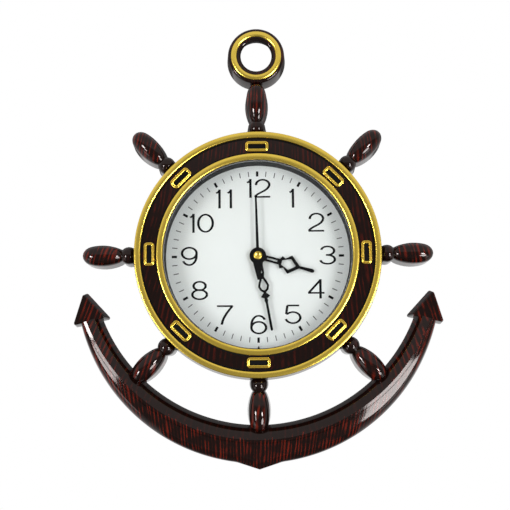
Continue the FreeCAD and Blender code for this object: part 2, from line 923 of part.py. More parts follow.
def make_back_case():
    """A cup behind the wheel case, with a keyhole bridge at the top of its open side."""
    body = new_body("back_case")
    inner = cup_radius - s.cup_wall
    revolve(body, [[
        (0, -s.floor_back_depth),
        (inner, -s.floor_back_depth),
        (inner, 0),
        (cup_radius, 0),
        (cup_radius, -case_back),
        (0, -case_back),
    ]])
    top = inner + s.cup_wall * 0.5
    high = top * math.sqrt(1 - (s.bridge_half.mm / top.mm) ** 2)
    bridge = [(-s.bridge_half, s.bridge_low), (s.bridge_half, s.bridge_low),
              (s.bridge_half, high, 0, 0, 1), (-s.bridge_half, high)]
    pad(body, [bridge], still, s.bridge_thickness)
    pad(body, [keyhole()], -s.overrun, s.bridge_thickness + s.overrun, cut=True)
    holes = [hole_loop(*screw_centre(place), s.screw_radius + s.screw_clearance)
             for place in range(SCREWS)]
    pad(body, holes, s.floor_back_depth - s.overrun, case_back + s.overrun,
        [(0, 0, s.bush_radius + s.seat_gap)], cut=True)
    keep("back_case", body)


def make_screws():
    """Four screws that hold the back case to the wheel case."""
    head = s.floor_back_depth - s.screw_head_height
    tip = s.floor_back_depth + s.screw_length
    screws = []
    for place in range(SCREWS):
        where = screw_centre(place)
        shank = rod(where, s.screw_radius - s.running_gap, head, tip)
        screws.append(shank.fuse(rod(where, s.screw_head_radius, head, s.floor_back_depth)))
    group("back_case_screws", screws)


# Movement: levels and arbor places

housing_inside = movement_front - s.housing_front
layer_pitch = s.wheel_thickness + s.layer_gap
hour_layer = housing_inside - s.front_play - s.wheel_thickness
minute_layer = hour_layer - layer_pitch
centre_layer = minute_layer - layer_pitch
plate_back = centre_layer - s.layer_gap - s.plate_thickness
third_layer = plate_back - layer_pitch
seconds_layer = third_layer - layer_pitch
fifth_layer = seconds_layer - layer_pitch
cover_front = s.cover_back_depth + s.cover_thickness
pivot_back = cover_front - s.pivot_depth
half_side = movement_side * 0.5
room = half_side - s.housing_wall

third_distance = s.centre_module * 0.5 * (CENTRE_TEETH + THIRD_LEAVES)
third_module = third_distance * 2 / (THIRD_TEETH + SECONDS_LEAVES)
fifth_distance = s.seconds_module * 0.5 * (SECONDS_TEETH + FIFTH_LEAVES)
rotor_distance = s.rotor_module * 0.5 * (FIFTH_TEETH + ROTOR_LEAVES)
motion_distance = s.hour_module * 0.5 * (HOUR_TEETH + MOTION_LEAVES)
minute_module = motion_distance * 2 / (MOTION_TEETH + MINUTE_LEAVES)
knob_distance = minute_module * 0.5 * (MOTION_TEETH + KNOB_LEAVES)

centre_place = (still, still)
third_place = (third_distance, still)
fifth_place = (-fifth_distance, still)
rotor_step = polar(rotor_distance, ROTOR_BEARING)
rotor_place = (fifth_place[0] + rotor_step[0], fifth_place[1] + rotor_step[1])
motion_place = (still, motion_distance)
knob_step = polar(knob_distance, KNOB_BEARING)
knob_place = (motion_place[0] + knob_step[0], motion_place[1] + knob_step[1])


def bearing(here, there):
    """The direction from one arbor to another, in degrees."""
    return math.degrees(math.atan2(there[1].mm - here[1].mm, there[0].mm - here[0].mm))


def toothed(place, module, teeth, toward, gap_first, back, tip_share, root_share, slip=0.0):
    """A toothed disc. A tooth, or a gap, points at the given direction, moved on by a slip."""
    pitch = 2 * math.pi / teeth
    tip = module.mm * (teeth * 0.5 + TIP_SHARE)
    root = module.mm * (teeth * 0.5 - ROOT_SHARE)
    start = math.radians(toward) + pitch * (0.5 if gap_first else 0.0) + pitch * slip
    corners = []
    for tooth in range(teeth):
        middle = start + tooth * pitch
        half_root = pitch * root_share * 0.5
        half_tip = pitch * tip_share * 0.5
        corners.append((root, middle - half_root))
        corners.append((tip, middle - half_tip))
        if tip_share:
            corners.append((tip, middle + half_tip))
        if root_share < 1:
            corners.append((root, middle + half_root))
    points = [FreeCAD.Vector(place[0].mm + radius * math.cos(turn), -back.mm,
                             place[1].mm + radius * math.sin(turn)) for radius, turn in corners]
    face = Part.Face(Part.makePolygon(points + points[:1]))
    return face.extrude(FreeCAD.Vector(0, -s.wheel_thickness.mm, 0))


def wheel(place, module, teeth, toward, back, slip=0.0):
    """A wheel with pointed teeth; one tooth points at the given direction."""
    return toothed(place, module, teeth, toward, False, back, WHEEL_TIP_SHARE, WHEEL_ROOT_SHARE, slip)


def pinion(place, module, leaves, toward, back, slip=0.0):
    """A pinion with blunt leaves; a gap points at the given direction."""
    return toothed(place, module, leaves, toward, True, back, LEAF_TIP_SHARE, LEAF_ROOT_SHARE, slip)


def make_going_train():
    """Rotor, fifth wheel, seconds wheel, third wheel and centre wheel."""
    arbor = s.arbor_radius
    plate_front = plate_back + s.plate_thickness
    to_rotor = bearing(fifth_place, rotor_place)
    magnet_back = cover_front + s.layer_gap
    join("rotor", [
        rod(rotor_place, arbor, pivot_back, plate_front),
        rod(rotor_place, s.magnet_radius, magnet_back, magnet_back + s.magnet_height),
        pinion(rotor_place, s.rotor_module, ROTOR_LEAVES, to_rotor + 180, fifth_layer),
    ])
    to_fifth = bearing(centre_place, fifth_place)
    join("fifth_wheel", [
        rod(fifth_place, arbor, pivot_back, plate_front),
        wheel(fifth_place, s.rotor_module, FIFTH_TEETH, to_rotor, fifth_layer),
        pinion(fifth_place, s.seconds_module, FIFTH_LEAVES, to_fifth + 180, seconds_layer),
    ])
    to_third = bearing(centre_place, third_place)
    join("seconds_wheel", [
        rod(centre_place, arbor, pivot_back, s.second_hand_depth + s.hand_thickness),
        wheel(centre_place, s.seconds_module, SECONDS_TEETH, to_fifth, seconds_layer),
        pinion(centre_place, third_module, SECONDS_LEAVES, to_third, third_layer),
    ])
    join("third_wheel", [
        rod(third_place, arbor, pivot_back, housing_inside + s.pivot_depth),
        wheel(third_place, third_module, THIRD_TEETH, to_third + 180, third_layer),
        pinion(third_place, s.centre_module, THIRD_LEAVES, to_third + 180, centre_layer),
    ])
    join("centre_wheel", [
        wheel(centre_place, s.centre_module, CENTRE_TEETH, to_third, centre_layer),
    ], [bore(centre_place, s.minute_pipe_radius + s.running_gap, centre_layer,
             centre_layer + s.wheel_thickness)])


def make_motion_work():
    """Minute pipe, motion wheel, hour wheel and setting knob."""
    back = centre_layer
    end = s.minute_hand_depth + s.hand_thickness + s.pipe_show
    to_motion = bearing(centre_place, motion_place)
    join("minute_pipe", [
        rod(centre_place, s.minute_pipe_radius, back, end),
        pinion(centre_place, minute_module, MINUTE_LEAVES, to_motion, minute_layer),
    ], [bore(centre_place, s.arbor_radius + s.running_gap, back, end)])
    hour_end = s.hour_hand_depth + s.hand_thickness + s.pipe_show
    join("hour_wheel", [
        wheel(centre_place, s.hour_module, HOUR_TEETH, to_motion, hour_layer),
        rod(centre_place, s.hour_pipe_radius, hour_layer, hour_end),
    ], [bore(centre_place, s.minute_pipe_radius + s.running_gap, hour_layer, hour_end)])
    join("motion_wheel", [
        wheel(motion_place, minute_module, MOTION_TEETH, to_motion + 180, minute_layer),
        rod(motion_place, s.hour_module * (MOTION_LEAVES * 0.5 - ROOT_SHARE), minute_layer,
            hour_layer + s.wheel_thickness),
        pinion(motion_place, s.hour_module, MOTION_LEAVES, to_motion + 180, hour_layer),
    ], [bore(motion_place, s.post_radius + s.running_gap, minute_layer,
             hour_layer + s.wheel_thickness)])
    to_knob = bearing(motion_place, knob_place)
    pitch = 360.0 / MOTION_TEETH
    ahead = (to_motion + 180 - to_knob) / pitch
    slip = -(ahead - math.floor(ahead))
    knob_back = s.cover_back_depth - s.knob_gap - s.knob_thickness
    join("setting_knob", [
        rod(knob_place, s.knob_shaft_radius, knob_back, minute_layer + s.wheel_thickness),
        prism(knob_place, s.knob_radius, knob_back, knob_back + s.knob_thickness, KNOB_SIDES),
        pinion(knob_place, minute_module, KNOB_LEAVES, to_knob + 180, minute_layer, slip),
    ])


def make_housing():
    """The movement's front case with its threaded bush, the middle plate and the back cover."""
    case = new_body("movement_case")
    outside = box_loop(-half_side, -half_side, half_side, half_side)
    pad(case, [outside], cover_front, movement_front)
    train_low = s.bay_wall - s.bay_top
    pad(case, [box_loop(-room, train_low, room, room)], cover_front - s.overrun, housing_inside,
        cut=True)
    bay_front = movement_front - s.bay_front
    pad(case, [box_loop(-room, -room, room, -s.bay_top)], cover_front - s.overrun, bay_front,
        cut=True)
    pad(case, [], housing_inside, s.bush_end_depth, [(0, 0, s.bush_radius)])
    post = prism_loop(motion_place, s.post_radius)
    pad(case, [post], minute_layer, housing_inside + s.overrun)
    pad(case, [], housing_inside - s.overrun, s.bush_end_depth + s.overrun, [(0, 0, s.bush_bore)],
        cut=True)
    pivot = s.arbor_radius + s.running_gap
    pad(case, [hole_loop(third_distance, still, pivot)], housing_inside - s.overrun,
        housing_inside + s.pivot_depth + s.seat_gap, cut=True)
    keep("movement_case", case)
    knob_hole = hole_loop(*knob_place, s.knob_shaft_radius + s.running_gap)
    arbors = (centre_place, third_place, fifth_place, rotor_place)
    pivots = [hole_loop(*place, pivot) for place in arbors]
    edge = room - s.seat_gap
    middle = new_body("middle_plate")
    pad(middle, [box_loop(-edge, train_low + s.seat_gap, edge, edge)], plate_back,
        plate_back + s.plate_thickness)
    pad(middle, pivots + [knob_hole], plate_back - s.overrun,
        plate_back + s.plate_thickness + s.overrun, cut=True)
    keep("middle_plate", middle)
    cover = new_body("movement_cover")
    pad(cover, [box_loop(-half_side, -s.bay_top, half_side, half_side)], s.cover_back_depth,
        cover_front)
    pad(cover, pivots, pivot_back - s.seat_gap, cover_front + s.overrun, cut=True)
    pad(cover, [knob_hole], s.cover_back_depth - s.overrun, cover_front + s.overrun, cut=True)
    keep("movement_cover", cover)


def make_fixings():
    """The nut and the rubber washer on the threaded bush."""
    corner = s.nut_flats * (0.5 / math.cos(math.pi / NUT_SIDES))
    loop = [polar(corner, side * 360.0 / NUT_SIDES + NUT_TURN) for side in range(NUT_SIDES)]
    thread = hole_loop(still, still, s.bush_radius + s.running_gap)
    plate("hex_nut", [loop, thread], dial_front, dial_front + s.nut_height)
    plate("rubber_washer", [prism_loop(centre_place, s.washer_radius), thread], movement_front,
          s.floor_back_depth)


def make_motor():
    """Stator, coil, circuit board and quartz crystal."""
    low = cover_front + s.stator_lift
    leg = s.stator_leg
    loop = [
        (-s.stator_left, s.stator_low),
        (-s.stator_right, s.stator_low),
        (-s.stator_right, s.stator_high),
        (-(s.stator_right + leg), s.stator_high),
        (-(s.stator_right + leg), s.stator_bridge),
        (leg - s.stator_left, s.stator_bridge),
        (leg - s.stator_left, s.stator_high),
        (-s.stator_left, s.stator_high),
    ]
    plate("stator", [loop], low, low + s.stator_thickness,
          [(rotor_place[0], rotor_place[1], s.stator_hole_radius)])
    coil = document.addObject("Part::Cylinder", "winding")
    left = leg - s.stator_left + s.coil_gap
    length = s.stator_left - s.stator_right - leg * 2 - s.coil_gap * 2
    depth = cover_front + s.layer_gap + s.coil_radius
    bind(coil, "Radius", s.coil_radius)
    bind(coil, "Height", length)
    coil.Placement = FreeCAD.Placement(FreeCAD.Vector(left.mm, -depth.mm, s.coil_height.mm),
                                       FreeCAD.Rotation(FreeCAD.Vector(0, 1, 0), 90))
    keep("coil", coil)
    board = room - s.board_edge
    back = cover_front + s.layer_gap
    plate("circuit_board", [box_loop(s.board_left, s.board_low, board, board)], back,
          back + s.board_thickness)
    crystal = document.addObject("Part::Cylinder", "can")
    bind(crystal, "Radius", s.crystal_radius)
    bind(crystal, "Height", s.crystal_length)
    lift = back + s.board_thickness + s.crystal_radius
    across = s.board_left + s.crystal_inset
    low = s.crystal_height - s.crystal_length
    crystal.Placement = FreeCAD.Placement(FreeCAD.Vector(across.mm, -lift.mm, low.mm),
                                          FreeCAD.Rotation())
    keep("quartz_crystal", crystal)


def make_battery():
    """The battery lying across the bottom bay, and its two contacts."""
    height = -(s.bay_top + (room - s.bay_top) * 0.5)
    depth = movement_front - s.bay_front - s.battery_gap - s.battery_radius
    plus = room - s.contact_thickness
    nub_end = plus - s.battery_gap
    can_end = nub_end - s.battery_nub_length
    can_start = can_end - s.battery_length
    along = FreeCAD.Vector(1, 0, 0)
    can = Part.makeCylinder(s.battery_radius.mm, s.battery_length.mm,
                            FreeCAD.Vector(can_start.mm, -depth.mm, height.mm), along)
    nub = Part.makeCylinder(s.battery_nub_radius.mm, s.battery_nub_length.mm,
                            FreeCAD.Vector(can_end.mm, -depth.mm, height.mm), along)
    join("battery", [can, nub])
    half = s.contact_half
    back = depth - half
    front = depth + half
    plate("positive_contact", [box_loop(plus, height - half, room, height + half)], back, front)
    strip = Part.makeBox(s.contact_thickness.mm, (half * 2).mm, (half * 2).mm,
                         FreeCAD.Vector(-room.mm, -front.mm, (height - half).mm))
    spring = Part.makeCylinder(s.spring_radius.mm,
                               (can_start - s.battery_gap + room - s.contact_thickness).mm,
                               FreeCAD.Vector((s.contact_thickness - room).mm, -depth.mm, height.mm),
                               along)
    join("negative_contact", [strip, spring])


# Hands

def hand(label, loops, depth, turn):
    """A flat hand drawn pointing up, then turned to the time shown."""
    body = new_body(label)
    pad(body, loops, depth, depth + s.hand_thickness)
    body.Placement = FreeCAD.Placement(FreeCAD.Vector(0, 0, 0),
                                       FreeCAD.Rotation(FreeCAD.Vector(0, 1, 0), turn))
    return keep(label, body)


def hub_joint(hub, half):
    """How far up a hub its arm of this half width starts."""
    return hub * math.sqrt(1 - (half.mm / hub.mm) ** 2)


def both_sides(right):
    """A closed loop from the corners of its right side, listed upwards; the first is on the hub."""
    left = [(-x, z) for x, z in reversed(right) if isinstance(x, Length) and x.mm]
    return right + left


def make_hour_hand():
    """A hand with a slim loop, a four-pointed open star and a short point."""
    line = s.hand_line
    hub = s.hour_hub_radius
    half = s.hour_loop_half
    needle = s.hour_needle_half
    outside = [
        (half, hub_joint(hub, half)),
        (half, s.hour_spike_place - line),
        (s.hour_spike_half, s.hour_spike_place),
        (s.hour_waist_half, s.hour_waist_place),
        (s.hour_wing_half, s.hour_wing_place),
        (needle, s.hour_star_end),
        (s.hour_tip_half, s.hour_length - s.hour_tip_half),
        (s.hour_tip_half * TIP_CORNER_SHARE, s.hour_length),
    ]
    outline = both_sides(outside)
    outline[-1] = outline[-1] + (0, 0, 1)
    slot = both_sides([
        (half - line, hub + line),
        (half - line, s.hour_spike_place - line * END_LINES),
    ])
    star = both_sides([
        (s.hour_waist_half - line * WAIST_LINES, s.hour_spike_place + line * ROOT_LINES),
        (s.hour_wing_half - line * WING_LINES, s.hour_wing_place),
        (needle * TIP_CORNER_SHARE, s.hour_star_end - line * END_LINES),
    ])
    hole = hole_loop(still, still, s.hour_pipe_radius)
    hand("hour_hand", [outline, slot, star, hole], s.hour_hand_depth, HOUR_HAND_TURN)


def make_minute_hand():
    """A hand with a slim loop, a drop-shaped ring, a barbed diamond and a long point."""
    line = s.hand_line
    hub = s.hub_radius
    half = s.minute_loop_half
    drop = s.minute_drop_half
    needle = s.minute_needle_half
    bend = drop * DROP_BEND
    outside = [
        (half, hub_joint(hub, half)),
        (half, s.minute_waist_place - line * END_LINES),
        (s.minute_waist_half, s.minute_waist_place),
        (bend, s.minute_drop_place - bend),
        (drop, s.minute_drop_place),
        (bend, s.minute_drop_place + bend),
        (needle, s.minute_drop_end),
        (s.minute_barb_half, s.minute_barb_place),
        (needle, s.minute_bump_place - line),
        (s.minute_bump_half, s.minute_bump_place),
        (needle, s.minute_bump_place + line),
        (needle, s.minute_length - needle),
        (needle * TIP_CORNER_SHARE, s.minute_length),
    ]
    outline = both_sides(outside)
    outline[-1] = outline[-1] + (0, 0, 1)
    slot = both_sides([
        (half - line, hub + line),
        (half - line, s.minute_waist_place - line * END_LINES),
    ])
    ring = both_sides([
        (line * ROOT_LINES, s.minute_waist_place + line),
        (bend - line, s.minute_drop_place - bend + line * ROOT_LINES),
        (drop - line, s.minute_drop_place),
        (bend - line, s.minute_drop_place + bend - line * ROOT_LINES),
        (line * ROOT_LINES, s.minute_drop_end - line * WAIST_LINES),
    ])
    hole = hole_loop(still, still, s.minute_pipe_radius)
    hand("minute_hand", [outline, slot, ring, hole], s.minute_hand_depth, MINUTE_HAND_TURN)


def make_second_hand():
    """A slim straight hand with a tapered tail, and the cap over its hub."""
    tail = s.second_tail_half
    outline = both_sides([
        (s.second_tail_end_half, -s.second_tail),
        (tail, -s.hub_radius),
        (tail, 0),
        (s.second_half, tail),
        (s.second_tip_half, s.second_length),
    ])
    hole = hole_loop(still, still, s.arbor_radius)
    hand("second_hand", [outline, hole], s.second_hand_depth, SECOND_HAND_TURN)
    seat = s.second_hand_depth + s.hand_thickness
    turned("second_hand_cap", [[(0, -seat), (s.cap_radius, -seat), (s.cap_radius, -cap_front),
                                (0, -cap_front)]])


# Build

def build():
    """Make every piece in the order in which they seat on each other."""
    make_wheel_case()
    make_gold_rings()
    make_buckles()
    make_eye()
    arms_filled = make_arms()
    make_flukes(arms_filled)
    make_handles(make_handle(), eye_outside(), arms_filled)
    make_window()
    make_back_case()
    make_screws()
    make_housing()
    make_fixings()
    make_motor()
    make_battery()
    make_going_train()
    make_motion_work()
    make_hour_hand()
    make_minute_hand()
    make_second_hand()
    document.recompute()


def check():
    """Stop if any object failed or any piece has no sound shape."""
    for item in document.Objects:
        if {"Invalid", "Error"} & set(item.State):
            raise RuntimeError(f"{item.Label} failed: {item.State}")
    for label, item in pieces:
        if item.Shape.isNull() or not item.Shape.isValid() or not item.Shape.Solids:
            raise RuntimeError(f"{label} has no valid solid")


def export():
    """Write each piece to its own file."""
    os.makedirs("parts", exist_ok=True)
    for label, item in pieces:
        item.Shape.exportStep(f"parts/{label}.step")
        print(f"{label}: {len(item.Shape.Solids)} solid, {item.Shape.Volume:.1f} mm3")


build()
check()
export()
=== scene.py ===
# %% [markdown]
# A wall clock shaped like a ship's wheel on an anchor. The solids, their sizes and their joints come from
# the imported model, which is loaded as a fixed frame. Here they get their finishes, and the pieces whose
# beauty is in soft curves are modelled again.

# %% Load the frame
import math

import bpy
from mathutils import Matrix, Vector


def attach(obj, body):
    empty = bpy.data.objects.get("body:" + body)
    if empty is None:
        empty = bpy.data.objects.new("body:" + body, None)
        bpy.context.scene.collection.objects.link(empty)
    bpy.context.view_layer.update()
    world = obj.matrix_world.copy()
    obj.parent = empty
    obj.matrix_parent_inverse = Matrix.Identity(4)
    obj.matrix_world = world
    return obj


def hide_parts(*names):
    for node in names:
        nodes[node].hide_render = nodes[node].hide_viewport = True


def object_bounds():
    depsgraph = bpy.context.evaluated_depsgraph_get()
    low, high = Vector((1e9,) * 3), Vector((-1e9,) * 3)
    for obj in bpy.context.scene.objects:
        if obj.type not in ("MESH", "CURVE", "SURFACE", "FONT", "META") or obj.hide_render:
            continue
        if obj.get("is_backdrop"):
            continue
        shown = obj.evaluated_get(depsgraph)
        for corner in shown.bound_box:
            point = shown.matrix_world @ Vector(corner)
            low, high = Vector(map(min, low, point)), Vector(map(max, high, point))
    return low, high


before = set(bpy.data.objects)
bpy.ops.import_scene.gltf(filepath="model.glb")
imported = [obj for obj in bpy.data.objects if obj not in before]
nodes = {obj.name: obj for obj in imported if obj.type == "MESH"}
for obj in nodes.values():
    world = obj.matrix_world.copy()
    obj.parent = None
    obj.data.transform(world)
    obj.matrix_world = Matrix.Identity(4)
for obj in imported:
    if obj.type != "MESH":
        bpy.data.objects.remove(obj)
cad_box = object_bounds()
MM = 0.001
print("nodes:", len(nodes))

# %% [markdown]
# The camera stands a little below the middle of the clock and looks up at it, so the underside of the rim
# shows and the far side of every hole hides. A long lens keeps the round dial round.

# %% Camera
CAMERA_PLACE = Vector((1.36, -759.75, -78.13)) * MM
CAMERA_PITCH = math.radians(6.10)
CAMERA_YAW = math.radians(0.29)
CAMERA_ROLL = math.radians(0.5)
FOCAL_PIXELS = 885.5
PHOTO_PIXELS = 510.0
NEAR_CLIP = 0.01


def aimed_camera():
    """A camera whose axes are worked out from its pitch, yaw and roll."""
    ahead = Vector((-math.sin(CAMERA_YAW) * math.cos(CAMERA_PITCH),
                    math.cos(CAMERA_YAW) * math.cos(CAMERA_PITCH), math.sin(CAMERA_PITCH)))
    level = Vector((math.cos(CAMERA_YAW), math.sin(CAMERA_YAW), 0.0))
    above = level.cross(ahead)
    right = level * math.cos(CAMERA_ROLL) - above * math.sin(CAMERA_ROLL)
    up = level * math.sin(CAMERA_ROLL) + above * math.cos(CAMERA_ROLL)
    data = bpy.data.cameras.new("camera")
    data.lens = data.sensor_width * (FOCAL_PIXELS / PHOTO_PIXELS)
    data.clip_start = NEAR_CLIP
    camera = bpy.data.objects.new("camera", data)
    bpy.context.scene.collection.objects.link(camera)
    turn = Matrix((right, up, -ahead)).transposed().to_4x4()
    camera.matrix_world = Matrix.Translation(CAMERA_PLACE) @ turn
    return camera


bpy.context.scene.camera = aimed_camera()
bpy.context.scene.view_settings.view_transform = "Standard"
print("camera at:", [round(value, 4) for value in CAMERA_PLACE])

# %% [markdown]
# A clock like this is photographed in a white tent. Two soft square lamps in front, left and right, give
# the hands their paired soft shadows. Six round panels show in reflections only, and they leave the bright
# spots on the handles and beads and the streak along the anchor. A panel's power grows with its area, so
# one strength looks as bright at any size.

# %% Lamps and panels
LEFT_BOX = {"place": (-0.80, -1.0, 0.0), "width": 0.45, "power": 5.5}
RIGHT_BOX = {"place": (0.60, -1.0, 0.0), "width": 0.30, "power": 4.0}
PANEL_REACH = 4.0
PANEL_LEVEL = 4.0
# A panel has the way to it, half its angle in degrees, and its strength.
PANELS = (
    ((-0.62, -0.77, -0.12), 5.0, 56.0),
    ((-0.60, -0.74, -0.31), 5.0, 18.0),
    ((0.52, -0.84, -0.15), 5.0, 56.0),
    ((-0.72, -0.40, -0.56), 9.0, 2.0),
    ((0.55, -0.70, -0.46), 10.0, 20.0),
    ((0.72, -0.35, -0.60), 9.0, 2.0),
)


def soft_lamp(name, place, width, power, shape="SQUARE"):
    """A flat lamp that looks at the middle of the clock."""
    data = bpy.data.lights.new(name, "AREA")
    data.shape = shape
    data.size = width
    data.energy = power
    lamp = bpy.data.objects.new(name, data)
    bpy.context.scene.collection.objects.link(lamp)
    lamp.location = place
    lamp.rotation_euler = (-Vector(place)).to_track_quat("-Z", "Y").to_euler()
    return lamp


soft_lamp("left_box", **LEFT_BOX).visible_glossy = False
soft_lamp("right_box", **RIGHT_BOX).visible_glossy = False
for number, (way, half, strength) in enumerate(PANELS):
    radius = PANEL_REACH * math.tan(math.radians(half))
    power = PANEL_LEVEL * strength * math.pi * radius ** 2
    panel = soft_lamp(f"panel_{number}", Vector(way).normalized() * PANEL_REACH, 2 * radius, power, "DISK")
    panel.visible_diffuse = False
print("lamps and panels:", len(bpy.data.lights))

# %% [markdown]
# The rest of what a reflection shows is the tent: white at the sides and above, greyer in front, where the
# camera looks in. Behind and above the clock it is darker, so the walls that face up keep a dark edge
# against the white. The tent has one level for the camera, one for reflections and one as a source of
# light. A few helpers join the nodes that work this out, and the materials use them too.

# %% White surroundings
CAMERA_LEVEL = 1.0
DIFFUSE_LEVEL = 0.72
FRONT_LEVEL = 0.3
SIDE_LEVEL = 1.0
BACK_SHADE = 0.85
SIDE_FADE = (-0.68, -0.10)
TOP_FADE = (0.11, 0.30)
BACK_FADE = (0.4, 0.8)
FOOT_FADE = (-0.05, 0.08)


def feed(tree, socket, value):
    """Links a socket to another one, or sets it to a plain value."""
    if isinstance(value, bpy.types.NodeSocket):
        tree.links.new(value, socket)
    else:
        socket.default_value = value


def mixed(tree, share, first, second):
    """A number between two."""
    node = tree.nodes.new("ShaderNodeMix")
    for place, value in (("Factor", share), (2, first), (3, second)):
        feed(tree, node.inputs[place], value)
    return node.outputs[0]


def combined(tree, operation, first, second):
    """One step of arithmetic on two numbers."""
    node = tree.nodes.new("ShaderNodeMath")
    node.operation = operation
    for place, value in enumerate((first, second)):
        feed(tree, node.inputs[place], value)
    return node.outputs[0]


def ranged(tree, value, low, high, to_low=0.0, to_high=1.0, change="LINEAR"):
    """A number moved from one range to another, and held inside it."""
    node = tree.nodes.new("ShaderNodeMapRange")
    node.interpolation_type = change
    bounds = {"From Min": low, "From Max": high, "To Min": to_low, "To Max": to_high}
    for label, bound in bounds.items():
        feed(tree, node.inputs[label], bound)
    tree.links.new(value, node.inputs["Value"])
    return node.outputs["Result"]


def faded(tree, value, low, high):
    """Nought below one value and one above another, with a soft change between."""
    return ranged(tree, value, low, high, change="SMOOTHSTEP")


def axes(tree, place):
    """The X, Y and Z of a place."""
    split = tree.nodes.new("ShaderNodeSeparateXYZ")
    tree.links.new(place, split.inputs[0])
    return split.outputs


def white_world():
    """White to the camera, greyer in front for reflections, and dimmer as a source of light."""
    world = bpy.data.worlds.new("white_tent")
    bpy.context.scene.world = world
    world.use_nodes = True
    tree = world.node_tree
    ray = tree.nodes.new("ShaderNodeLightPath").outputs
    way = axes(tree, tree.nodes.new("ShaderNodeTexCoord").outputs["Generated"])
    white = combined(tree, "MAXIMUM", faded(tree, way["Y"], *SIDE_FADE), faded(tree, way["Z"], *TOP_FADE))
    behind = combined(tree, "MULTIPLY", faded(tree, way["Y"], *BACK_FADE), faded(tree, way["Z"], *FOOT_FADE))
    lit_back = combined(tree, "SUBTRACT", 1.0, combined(tree, "MULTIPLY", behind, BACK_SHADE))
    mirrored = combined(tree, "MULTIPLY", mixed(tree, white, FRONT_LEVEL, SIDE_LEVEL), lit_back)
    level = mixed(tree, ray["Is Glossy Ray"], DIFFUSE_LEVEL, mirrored)
    level = mixed(tree, ray["Is Transmission Ray"], level, CAMERA_LEVEL)
    level = mixed(tree, ray["Is Camera Ray"], level, CAMERA_LEVEL)
    shade = tree.nodes["Background"]
    tree.links.new(level, shade.inputs["Strength"])
    shade.inputs["Color"].default_value = (1, 1, 1, 1)
    return world


print("surroundings:", white_world().name)

# %% [markdown]
# The pieces below are made as by hand: a primitive is added where it belongs and then shaped in edit mode.
# These few helpers keep the steps short. Everything is deselected before each primitive is added, because
# an operator acts on all that is selected.

# %% Working helpers
PLAIN_ANGLE = 35.0


def deselect():
    """Goes back to object mode and selects nothing."""
    if bpy.context.mode != "OBJECT":
        bpy.ops.object.mode_set(mode="OBJECT")
    bpy.ops.object.select_all(action="DESELECT")


def alone(piece):
    """Makes a piece the only selected one."""
    deselect()
    piece.select_set(True)
    bpy.context.view_layer.objects.active = piece


def dressed(piece, *finishes):
    """Gives a piece these finishes in place of any that it had."""
    piece.data.materials.clear()
    for finish in finishes:
        piece.data.materials.append(finish)


def fresh(name, add, **sizes):
    """Adds a primitive as the only selected object and names it."""
    deselect()
    add(**sizes)
    piece = bpy.context.object
    piece.name = name
    bpy.ops.object.transform_apply(location=True, rotation=True, scale=True)
    return piece


def edit(kind="VERT"):
    """Goes into edit mode, to work on vertices, edges or faces."""
    bpy.ops.object.mode_set(mode="EDIT")
    bpy.ops.mesh.select_mode(type=kind)


def leave():
    """Goes back to object mode."""
    bpy.ops.object.mode_set(mode="OBJECT")


def extrude(step):
    """Extrudes what is selected in edit mode by a step."""
    bpy.ops.mesh.extrude_region_move(TRANSFORM_OT_translate={"value": step})


def outward():
    """Turns every face of the edited mesh outwards."""
    bpy.ops.mesh.select_all(action="SELECT")
    bpy.ops.mesh.normals_make_consistent(inside=False)


def pick_none(piece):
    """Leaves edit mode with nothing selected in the mesh, which starts out all selected."""
    leave()
    for row in (piece.data.vertices, piece.data.edges, piece.data.polygons):
        for item in row:
            item.select = False


def pick_faces(piece, wanted):
    """Selects the faces whose centre and normal pass a test, and goes into face editing."""
    pick_none(piece)
    for face in piece.data.polygons:
        face.select = bool(wanted(face.center, face.normal))
    edit("FACE")


def pick_edges(piece, wanted):
    """Selects the edges whose two ends pass a test, and goes into edge editing."""
    pick_none(piece)
    for edge in piece.data.edges:
        start, end = (piece.data.vertices[index].co for index in edge.vertices)
        edge.select = bool(wanted(start, end))
    edit("EDGE")


def joined(name, parts):
    """Several pieces as one."""
    deselect()
    for part in parts:
        part.select_set(True)
    bpy.context.view_layer.objects.active = parts[0]
    bpy.ops.object.join()
    parts[0].name = name
    return parts[0]


def copied(piece, name, turn):
    """A copy with its own mesh, turned clockwise about the hands' axis by degrees."""
    copy = piece.copy()
    copy.data = piece.data.copy()
    copy.name = name
    bpy.context.scene.collection.objects.link(copy)
    copy.data.transform(Matrix.Rotation(math.radians(turn), 4, "Y"))
    return copy


def finished(piece, body="root", angle=PLAIN_ANGLE):
    """Smooths a piece except at its sharp edges, and says which body carries it."""
    alone(piece)
    bpy.ops.object.shade_smooth_by_angle(angle=math.radians(angle))
    deselect()
    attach(piece, body)
    print(piece.name, len(piece.data.polygons), "faces")


def modified(piece, kind, **settings):
    """Adds a modifier and applies it."""
    alone(piece)
    modifier = piece.modifiers.new(kind, kind)
    for key, value in settings.items():
        setattr(modifier, key, value)
    bpy.ops.object.modifier_apply(modifier=modifier.name)


# %% [markdown]
# Materials. Two effects are shared, so each is a node group that is built once: wood grain for the moulded
# plastic, and a fine surface variation for every plain finish. Each group gives colour, roughness and
# height.

# %% Node helpers
OUTCOMES = {"Color": "NodeSocketColor", "Roughness": "NodeSocketFloat", "Height": "NodeSocketFloat"}


def group_with(name, entries):
    """A node group with these inputs and the three outcomes, and the sockets inside it for both."""
    tree = bpy.data.node_groups.new(name, "ShaderNodeTree")
    for label, value in entries.items():
        kind = "NodeSocketColor" if isinstance(value, tuple) else "NodeSocketFloat"
        tree.interface.new_socket(label, in_out="INPUT", socket_type=kind).default_value = value
    for label, kind in OUTCOMES.items():
        tree.interface.new_socket(label, in_out="OUTPUT", socket_type=kind)
    return tree, tree.nodes.new("NodeGroupInput").outputs, tree.nodes.new("NodeGroupOutput").inputs


